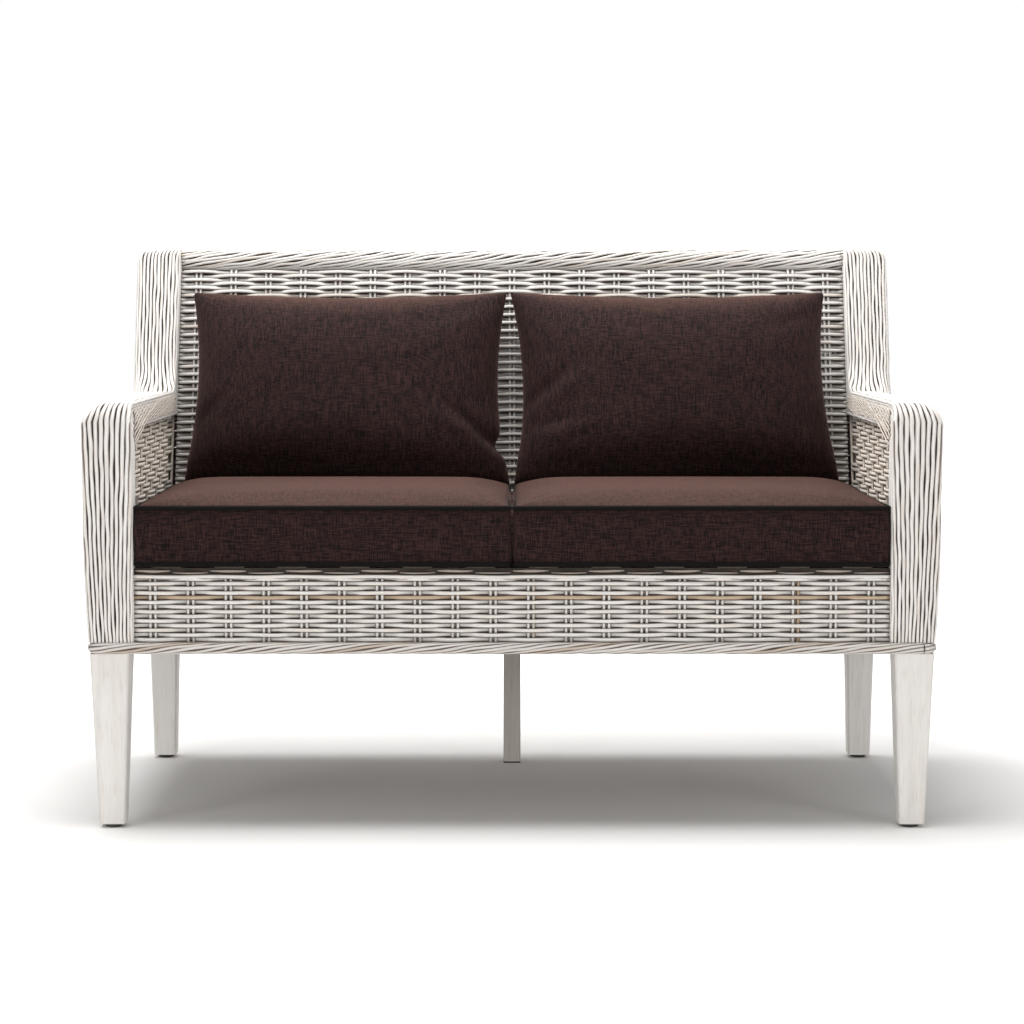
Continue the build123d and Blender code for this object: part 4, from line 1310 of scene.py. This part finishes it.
def inflate(piece, held, pressure, cap):
    # the cover swells under pressure, its seams held
    start = coordsOf(piece.data)
    seam = piece.vertex_groups.new(name="seam")
    seam.add([int(k) for k in np.where(held)[0]], 1.0, "REPLACE")
    cloth = piece.modifiers.new("Cloth", "CLOTH")
    cloth.settings.quality = cover["quality"]
    cloth.settings.mass = cover["mass"]
    cloth.settings.tension_stiffness = cover["stretch"]
    cloth.settings.compression_stiffness = cover["stretch"]
    cloth.settings.shear_stiffness = cover["shear"]
    cloth.settings.bending_stiffness = cover["bending"]
    cloth.settings.use_pressure = True
    cloth.settings.uniform_pressure_force = pressure
    cloth.settings.vertex_group_mass = "seam"
    cloth.settings.effector_weights.gravity = 0
    cloth.collision_settings.use_collision = False
    cloth.point_cache.frame_start = 1
    cloth.point_cache.frame_end = cover["frames"]
    for step in range(1, cover["frames"] + 1):
        bpy.context.scene.frame_set(step)
    makeActive(piece)
    bpy.ops.object.modifier_apply(modifier=cloth.name)
    move = coordsOf(piece.data) - start
    size = np.linalg.norm(move, axis=1, keepdims=True)
    move *= cap * np.tanh(size / cap) / np.maximum(size, 1e-9)
    setCoords(piece.data, start + move)
    bpy.context.scene.frame_set(1)
    piece.vertex_groups.clear()
    print(piece.name, "swelled by up to", round(float(np.abs(move).max()) * 1000, 1), "mm")


def nameCover(piece, name):
    piece.name = name
    piece.data.name = name
    piece.data.materials.append(espressoLinen)


def smoothOnce(piece):
    makeActive(piece)
    finishWith(piece, "SUBSURF", levels=1, render_levels=1)
    piece.data.shade_smooth()


def fixCover(piece, node):
    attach(piece, node)
    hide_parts(node)


seatCushion = {
    "inner": 0.0004,
    "outer": 0.5830,
    "frontDepth": 0.001,
    "rearDepth": 0.4830,
    "under": body["deckTop"] + 0.001,
    "height": 0.0935,
    "crown": 0.0150,
    "corner": 0.008,
    "draw": 0.004,
    "belly": 0.0035,
    "tuckIn": 0.003,
    "seamBand": 0.008,
    "footBand": 0.010,
    "seamShares": (0.975, 0.97),
    "piping": 0.0078,
    "pipingInset": (0.0036, 0.0030),
    "pipingShares": (0.4, 0.45),
    "pipingTone": 0.2,
    "voxel": 0.006,
    "pressure": 4.0,
    "cap": 0.005,
    "fill": 0.85,
}


def seatBlank(a, b):
    # a box with rounded upright corners, cut into an even net
    s = seatCushion
    cushion = addBox((0, 0, s["height"] / 2), (2 * a, 2 * b, s["height"]))
    startEdit("DESELECT")
    endEdit()
    for edge in cushion.data.edges:
        p, q = (cushion.data.vertices[k].co for k in edge.vertices)
        edge.select = abs(p.z - q.z) > s["height"] / 2
    bpy.ops.object.mode_set(mode="EDIT")
    bpy.ops.mesh.bevel(offset=s["corner"], segments=4)
    bpy.ops.mesh.select_all(action="SELECT")
    endEdit()
    finishWith(cushion, "REMESH", mode="VOXEL", voxel_size=s["voxel"])
    return cushion


def seatOutline(a, b, corner, draw, count=20):
    # rounded rectangle with its sides drawn in, as places round a loop
    turn = np.linspace(0, math.pi / 2, count)
    side = np.linspace(0, 1, count + 2)[1:-1][:, None]
    rounds = []
    for k, (cx, cy) in enumerate(((1, 1), (-1, 1), (-1, -1), (1, -1))):
        x = cx * (a - corner) + corner * np.cos(turn + k * math.pi / 2)
        y = cy * (b - corner) + corner * np.sin(turn + k * math.pi / 2)
        rounds.append(np.stack([x, y], axis=1))
    points = []
    for k, inward in enumerate(((0, -1), (1, 0), (0, 1), (-1, 0))):
        start, end = rounds[k][-1], rounds[(k + 1) % 4][0]
        points.append(rounds[k])
        points.append(start + (end - start) * side + np.array(inward) * draw * 4 * side * (1 - side))
    return np.concatenate(points)


def seatPiping(a, b, centre, name):
    # cords round the upper and lower seams
    s = seatCushion
    loop = seatOutline(a - s["pipingInset"][0], b - s["pipingInset"][1], s["corner"], s["draw"])
    loop = np.concatenate([loop, loop[:1]])
    upright = everywhere((0, 0, 1), len(loop))
    cords = []
    topShare, footShare = s["pipingShares"]
    for high in (s["height"] - s["piping"] * topShare, s["piping"] * footShare):
        points = stack(loop[:, 0] + centre.x, loop[:, 1] + centre.y, centre.z + high)
        cords.append(layStrand(points, upright, upright, s["piping"], s["piping"], s["pipingTone"], 8))
    piping = joinPieces(name + "_seat_piping", cords, shadedPipingLinen)
    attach(piping, name + "_seat_cushion")


def seatCushionPiece(sign, name):
    s = seatCushion
    a = (s["outer"] - s["inner"]) / 2
    b = (s["rearDepth"] - s["frontDepth"]) / 2
    midDepth = (s["frontDepth"] + s["rearDepth"]) / 2
    centre = Vector((sign * (s["inner"] + s["outer"]) / 2, yOf(midDepth), s["under"]))
    cushion = seatBlank(a, b)
    co = coordsOf(cushion.data)
    x, y, z = co.T.copy()
    shareX, shareY = np.clip(np.abs(x) / a, 0, 1), np.clip(np.abs(y) / b, 0, 1)
    shareZ = np.clip(z / s["height"], 0, 1)
    # the sides pull in between the corners, but not where the two cushions meet
    inner = x * sign < 0
    co[:, 0] -= np.sign(x) * np.where(inner, 0, s["draw"]) * (1 - shareY**2) * shareX**6
    co[:, 1] -= np.sign(y) * s["draw"] * (1 - shareX**2) * shareY**6
    # the top panel crowns, quickly at the sides and more slowly from the front
    across = (1 - shareX**14) ** 0.9
    lift = s["crown"] * across * (1 - np.where(y < 0, shareY**5, shareY**9)) ** 0.85
    co[:, 2] = z + lift * shareZ**2
    # the boxing swells a little between the two seams
    edge = np.maximum(shareX**10, shareY**10)
    belly = s["belly"] * np.sin(shareZ * math.pi) * edge - s["tuckIn"]
    co[:, 0] += belly * np.sign(x) * np.where(inner, 0.5, 1) * shareX**6
    co[:, 1] += belly * np.sign(y) * shareY**6
    setCoords(cushion.data, co + np.array(centre))
    nameCover(cushion, name + "_seat_pad")
    onEdge = (shareX > s["seamShares"][0]) | (shareY > s["seamShares"][1])
    held = (z < s["footBand"]) | (onEdge & (z > s["height"] - s["seamBand"]))
    inflate(cushion, held, s["pressure"], s["cap"])
    smoothOnce(cushion)
    # it keeps to its own half of the seat
    co = coordsOf(cushion.data)
    co[:, 0] = sign * np.clip(sign * co[:, 0], s["inner"], s["outer"])
    co[:, 1] = np.clip(co[:, 1], yOf(s["frontDepth"]), yOf(s["rearDepth"]))
    co[:, 2] = np.maximum(co[:, 2], s["under"])
    setCoords(cushion.data, co)
    fixCover(cushion, name + "_seat_cushion")
    seatPiping(a, b, centre, name)
    return cushion


backCushion = {
    "halfTop": 0.2735,
    "halfFoot": 0.2785,
    "height": 0.336,
    "foot": 0.5125,
    "sideDraw": 0.017,
    "topDraw": 0.013,
    "footDraw": 0.004,
    "front": 0.090,
    "rear": 0.044,
    "seamHalf": 0.001,
    "sag": 0.10,
    "centre": 0.285,
    "tip": {"left": 0.003, "right": -0.0145},  # how far the top leans along X
    "meet": 0.0042,  # how far the inner foot corner comes to the middle
    "settle": 0.012,  # how far the foot sinks to the seat cushion
    "rest": 0.0012,
    "restZone": 0.0275,
    "restInset": 0.003,
    "clear": 0.0006,
    "ripple": 0.0010,
    "notch": 0.014,
    "notchUp": -0.66,
    "notchWide": 0.10,
    "seamShares": (0.985, 0.98, 0.9),
    "voxel": 0.0055,
    "pressure": 4.0,
    "cap": 0.006,
    "fill": 0.8,
}

# each crease: share across from the middle (plus is outward), share up, length ways, depth and width
creases = {
    "left": [(-0.86, -0.56, 0.17, 0.20, 0.009, 0.050), (0.84, -0.30, -0.10, 0.16, 0.004, 0.060),
             (-0.72, 0.72, 0.16, -0.12, 0.003, 0.060)],
    "right": [(-0.84, -0.12, 0.12, 0.16, 0.007, 0.055), (-0.80, -0.50, 0.14, 0.02, 0.004, 0.060),
              (0.80, 0.62, -0.14, -0.10, 0.003, 0.060)],
}


def creaseDepth(u, v, marks):
    # soft valleys along short lines on the face, each with a low ridge beside it
    total = np.zeros(len(u))
    for cu, cv, du, dv, depth, wide in marks:
        size = math.hypot(du, dv)
        along = ((u - cu) * du + (v - cv) * dv) / size
        off = ((u - cu) * dv - (v - cv) * du) / size
        fade = depth * np.exp(-((along / size) ** 2))
        total += fade * np.exp(-((off / wide) ** 2))
        total -= fade * 0.45 * np.exp(-(((off - 2.0 * wide) / (1.4 * wide)) ** 2))
    return total


def shapeBackCushion(co, sign, name):
    # a knife-edge cushion lying on its back, and the shares across, up and forward of each place
    s = backCushion
    u = np.clip(co[:, 0] / s["halfTop"], -1, 1)
    v = np.clip(co[:, 1] / (s["height"] / 2), -1, 1)
    w = np.clip(co[:, 2] / ((s["front"] + s["rear"]) / 2), -1, 1)
    upper = 1 - np.abs(v) ** np.where(v > 0, 2.4, 6.0)
    swell = ((1 - np.abs(u) ** 2.8) * upper) ** 0.52
    sag = 1 + s["sag"] * (0.5 - v / 2)
    half = s["halfTop"] + (s["halfFoot"] - s["halfTop"]) * (1 - v) / 2
    co[:, 0] = u * (half - s["sideDraw"] * (1 - v**2))
    co[:, 1] = v * (s["height"] / 2 - np.where(v > 0, s["topDraw"], s["footDraw"]) * (1 - u**2))
    front, rear = s["front"] * swell * sag, s["rear"] * np.minimum(swell * 1.3, 1)
    co[:, 2] = w * np.where(w > 0, front, rear) + s["seamHalf"] * w
    outU = u * sign
    face = np.clip(w, 0, 1)
    ripple = s["ripple"] * np.sin(9 * outU + 5 * v + 1.3) * np.sin(7 * v - 4 * outU) * swell
    co[:, 2] += (ripple - creaseDepth(outU, v, creases[name])) * face
    if name == "left":
        # the notch in its inner side
        notch = s["notch"] * np.exp(-(((v - s["notchUp"]) / s["notchWide"]) ** 2)) * np.clip(-outU, 0, 1) ** 6
        co[:, 0] += sign * notch
    return u, v, w


def settleOn(seatPad, x, y, z, share):
    # its foot rests on the seat cushion
    s = backCushion
    lastY = yOf(seatCushion["rearDepth"] - s["restInset"])
    for k in np.where(z < s["foot"] + s["restZone"])[0]:
        hit, spot, _, _ = seatPad.ray_cast((x[k], min(y[k], lastY), body["armTop"]), (0, 0, -1))
        if hit:
            rest = spot.z + s["rest"]
            sink = min(max(z[k] - rest, 0), s["settle"]) * max(1 - 12 * share[k], 0) ** 0.5
            z[k] = max(z[k] - sink, rest)


def backCushionPiece(sign, name, seatPad):
    s = backCushion
    behind = backWall["front"] - s["clear"] - s["rear"]
    low = (s["foot"] - body["armTop"] + behind * math.sin(lean)) / math.cos(lean)
    up = low + s["height"] / 2
    depth = body["wingFoot"] + up * math.sin(lean) + behind * math.cos(lean)
    high = body["armTop"] + up * math.cos(lean) - behind * math.sin(lean)
    cushion = addBox((0, 0, 0), (2 * s["halfTop"], s["height"], s["front"] + s["rear"]))
    finishWith(cushion, "REMESH", mode="VOXEL", voxel_size=s["voxel"])
    co = coordsOf(cushion.data)
    u, v, w = shapeBackCushion(co, sign, name)
    setCoords(cushion.data, co)
    nameCover(cushion, name + "_back_pad")
    sideShare, endShare, rearShare = s["seamShares"]
    held = (np.abs(u) > sideShare) | (np.abs(v) > endShare) | (w < -rearShare)
    inflate(cushion, held, s["pressure"], s["cap"])
    smoothOnce(cushion)
    # it is stood up against the leaning back
    co = coordsOf(cushion.data)
    rise = np.maximum(co[:, 2], -s["rear"])
    share = np.clip(0.5 + co[:, 1] / s["height"], 0, 1)
    inward = np.clip(-sign * co[:, 0] / s["halfTop"], 0, 1)
    x = sign * s["centre"] + co[:, 0] + s["tip"][name] * share
    x -= sign * s["meet"] * inward**3 * np.clip(1 - 4 * share, 0, 1)
    y = yOf(depth) - rise * math.cos(lean) + co[:, 1] * math.sin(lean)
    z = high + rise * math.sin(lean) + co[:, 1] * math.cos(lean)
    settleOn(seatPad, x, y, z, share)
    setCoords(cushion.data, stack(x, y, z))
    fixCover(cushion, name + "_back_cushion")


for sideName, sideSign in (("right", 1), ("left", -1)):
    seat = seatCushionPiece(sideSign, sideName)
    backCushionPiece(sideSign, sideName, seat)
print("cushions are sewn")


# Materials of the parts that keep their shape

nodeLooks = {
    "leg": legWood,
    "glide": blackNylon,
    "pad": blackNylon,
    "bolts": boltSteel,
    "filling": foam,
    # wraps that stay get the dark painted-shade colour
    "wrap": shadeCoreCane,
}


def dressNodes():
    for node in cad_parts:
        piece = bpy.data.objects.get(node)
        if piece is None or piece.type != "MESH":
            continue
        look = framePaint
        for word, material in nodeLooks.items():
            if word in node.split("_"):
                look = material
        # the centre leg, in shade under the seat, gets the darker painted-shade copy
        if node == "centre_leg":
            look = shadedCentreWood
        if not piece.material_slots:
            piece.data.materials.append(look)
        for slot in piece.material_slots:
            slot.material = look


dressNodes()


# Floor, backdrop, lights and camera

studio = {
    "floor": 24.0,
    "floorTone": 0.88,
    "floorGlow": 1.1,
    "skyLight": 0.46,
    "aim": (0, 0, 0.4),
    "key": {"place": (-0.3, 0.05, 3.0), "size": 2.5, "power": 124.0},
    "fill": {"place": (5.4, -6.4, 1.2), "size": 2.8, "power": 148.0},
    "cameraDistance": 4.0,
    "cameraHeight": 0.8222,
    "pitch": 4.68,
    "lens": 91.9,
}


def seenAsBackground(tree):
    # rays from the camera, from mirrors and through glass
    path = tree.nodes.new("ShaderNodeLightPath")
    return maths(tree, "MAXIMUM", path.outputs["Is Camera Ray"],
                 maths(tree, "MAXIMUM", path.outputs["Is Glossy Ray"], path.outputs["Is Transmission Ray"]))


def floorMaterial(name):
    # takes the shadow near the seat and glows white further off
    material, tree, shader = newMaterial(name, 1.0)
    tone = studio["floorTone"]
    shader.inputs["Base Color"].default_value = (tone, tone * 0.985, tone * 0.97, 1)
    shader.inputs["Specular IOR Level"].default_value = 0.0
    place = addNode(tree, "ShaderNodeTexCoord")
    away = addNode(tree, "ShaderNodeVectorMath", operation="LENGTH")
    tree.links.new(place.outputs["Object"], away.inputs[0])
    far = fadeIn(tree, maths(tree, "MULTIPLY", away.outputs["Value"], 0.25), 0.22, 0.55)
    glow = maths(tree, "MULTIPLY", maths(tree, "MULTIPLY", seenAsBackground(tree), far), studio["floorGlow"])
    shader.inputs["Emission Color"].default_value = (1, 1, 1, 1)
    tree.links.new(glow, shader.inputs["Emission Strength"])
    return material


def layFloor():
    deselectAll()
    bpy.ops.mesh.primitive_plane_add(size=studio["floor"], location=(0, 0, 0))
    floor = bpy.context.object
    floor.name = "studio_floor"
    floor.data.materials.append(floorMaterial("paleFloor"))


def hangSky():
    # a soft light from all round, behind a white backdrop
    world = bpy.data.worlds.new("studioSky")
    bpy.context.scene.world = world
    world.use_nodes = True
    tree = world.node_tree
    tree.nodes.clear()
    out = tree.nodes.new("ShaderNodeOutputWorld")
    sky = addNode(tree, "ShaderNodeBackground", Color=(1, 1, 1, 1), Strength=studio["skyLight"])
    white = addNode(tree, "ShaderNodeBackground", Color=(1, 1, 1, 1), Strength=1.0)
    choose = tree.nodes.new("ShaderNodeMixShader")
    tree.links.new(seenAsBackground(tree), choose.inputs[0])
    tree.links.new(sky.outputs[0], choose.inputs[1])
    tree.links.new(white.outputs[0], choose.inputs[2])
    tree.links.new(choose.outputs[0], out.inputs[0])


def softLight(name, look, side=1):
    lamp = bpy.data.lights.new(name, "AREA")
    lamp.shape = "DISK"
    lamp.size = look["size"]
    lamp.energy = look["power"]
    lampObject = bpy.data.objects.new(name, lamp)
    bpy.context.collection.objects.link(lampObject)
    x, y, z = look["place"]
    lampObject.location = (side * x, y, z)
    way = Vector(studio["aim"]) - lampObject.location
    lampObject.rotation_euler = way.to_track_quat("-Z", "Y").to_euler()


def placeCamera():
    lens = bpy.data.cameras.new("camera")
    lens.lens = studio["lens"]
    lens.sensor_width = 36
    camera = bpy.data.objects.new("camera", lens)
    bpy.context.collection.objects.link(camera)
    camera.location = (0, yOf(0) - studio["cameraDistance"], studio["cameraHeight"])
    camera.rotation_euler = (math.radians(90 - studio["pitch"]), 0, 0)
    bpy.context.scene.camera = camera


layFloor()
hangSky()
softLight("keyLight", studio["key"])
softLight("leftFill", studio["fill"], -1)
softLight("rightFill", studio["fill"])
placeCamera()
bpy.context.scene.view_settings.view_transform = "Standard"
print("studio is set")
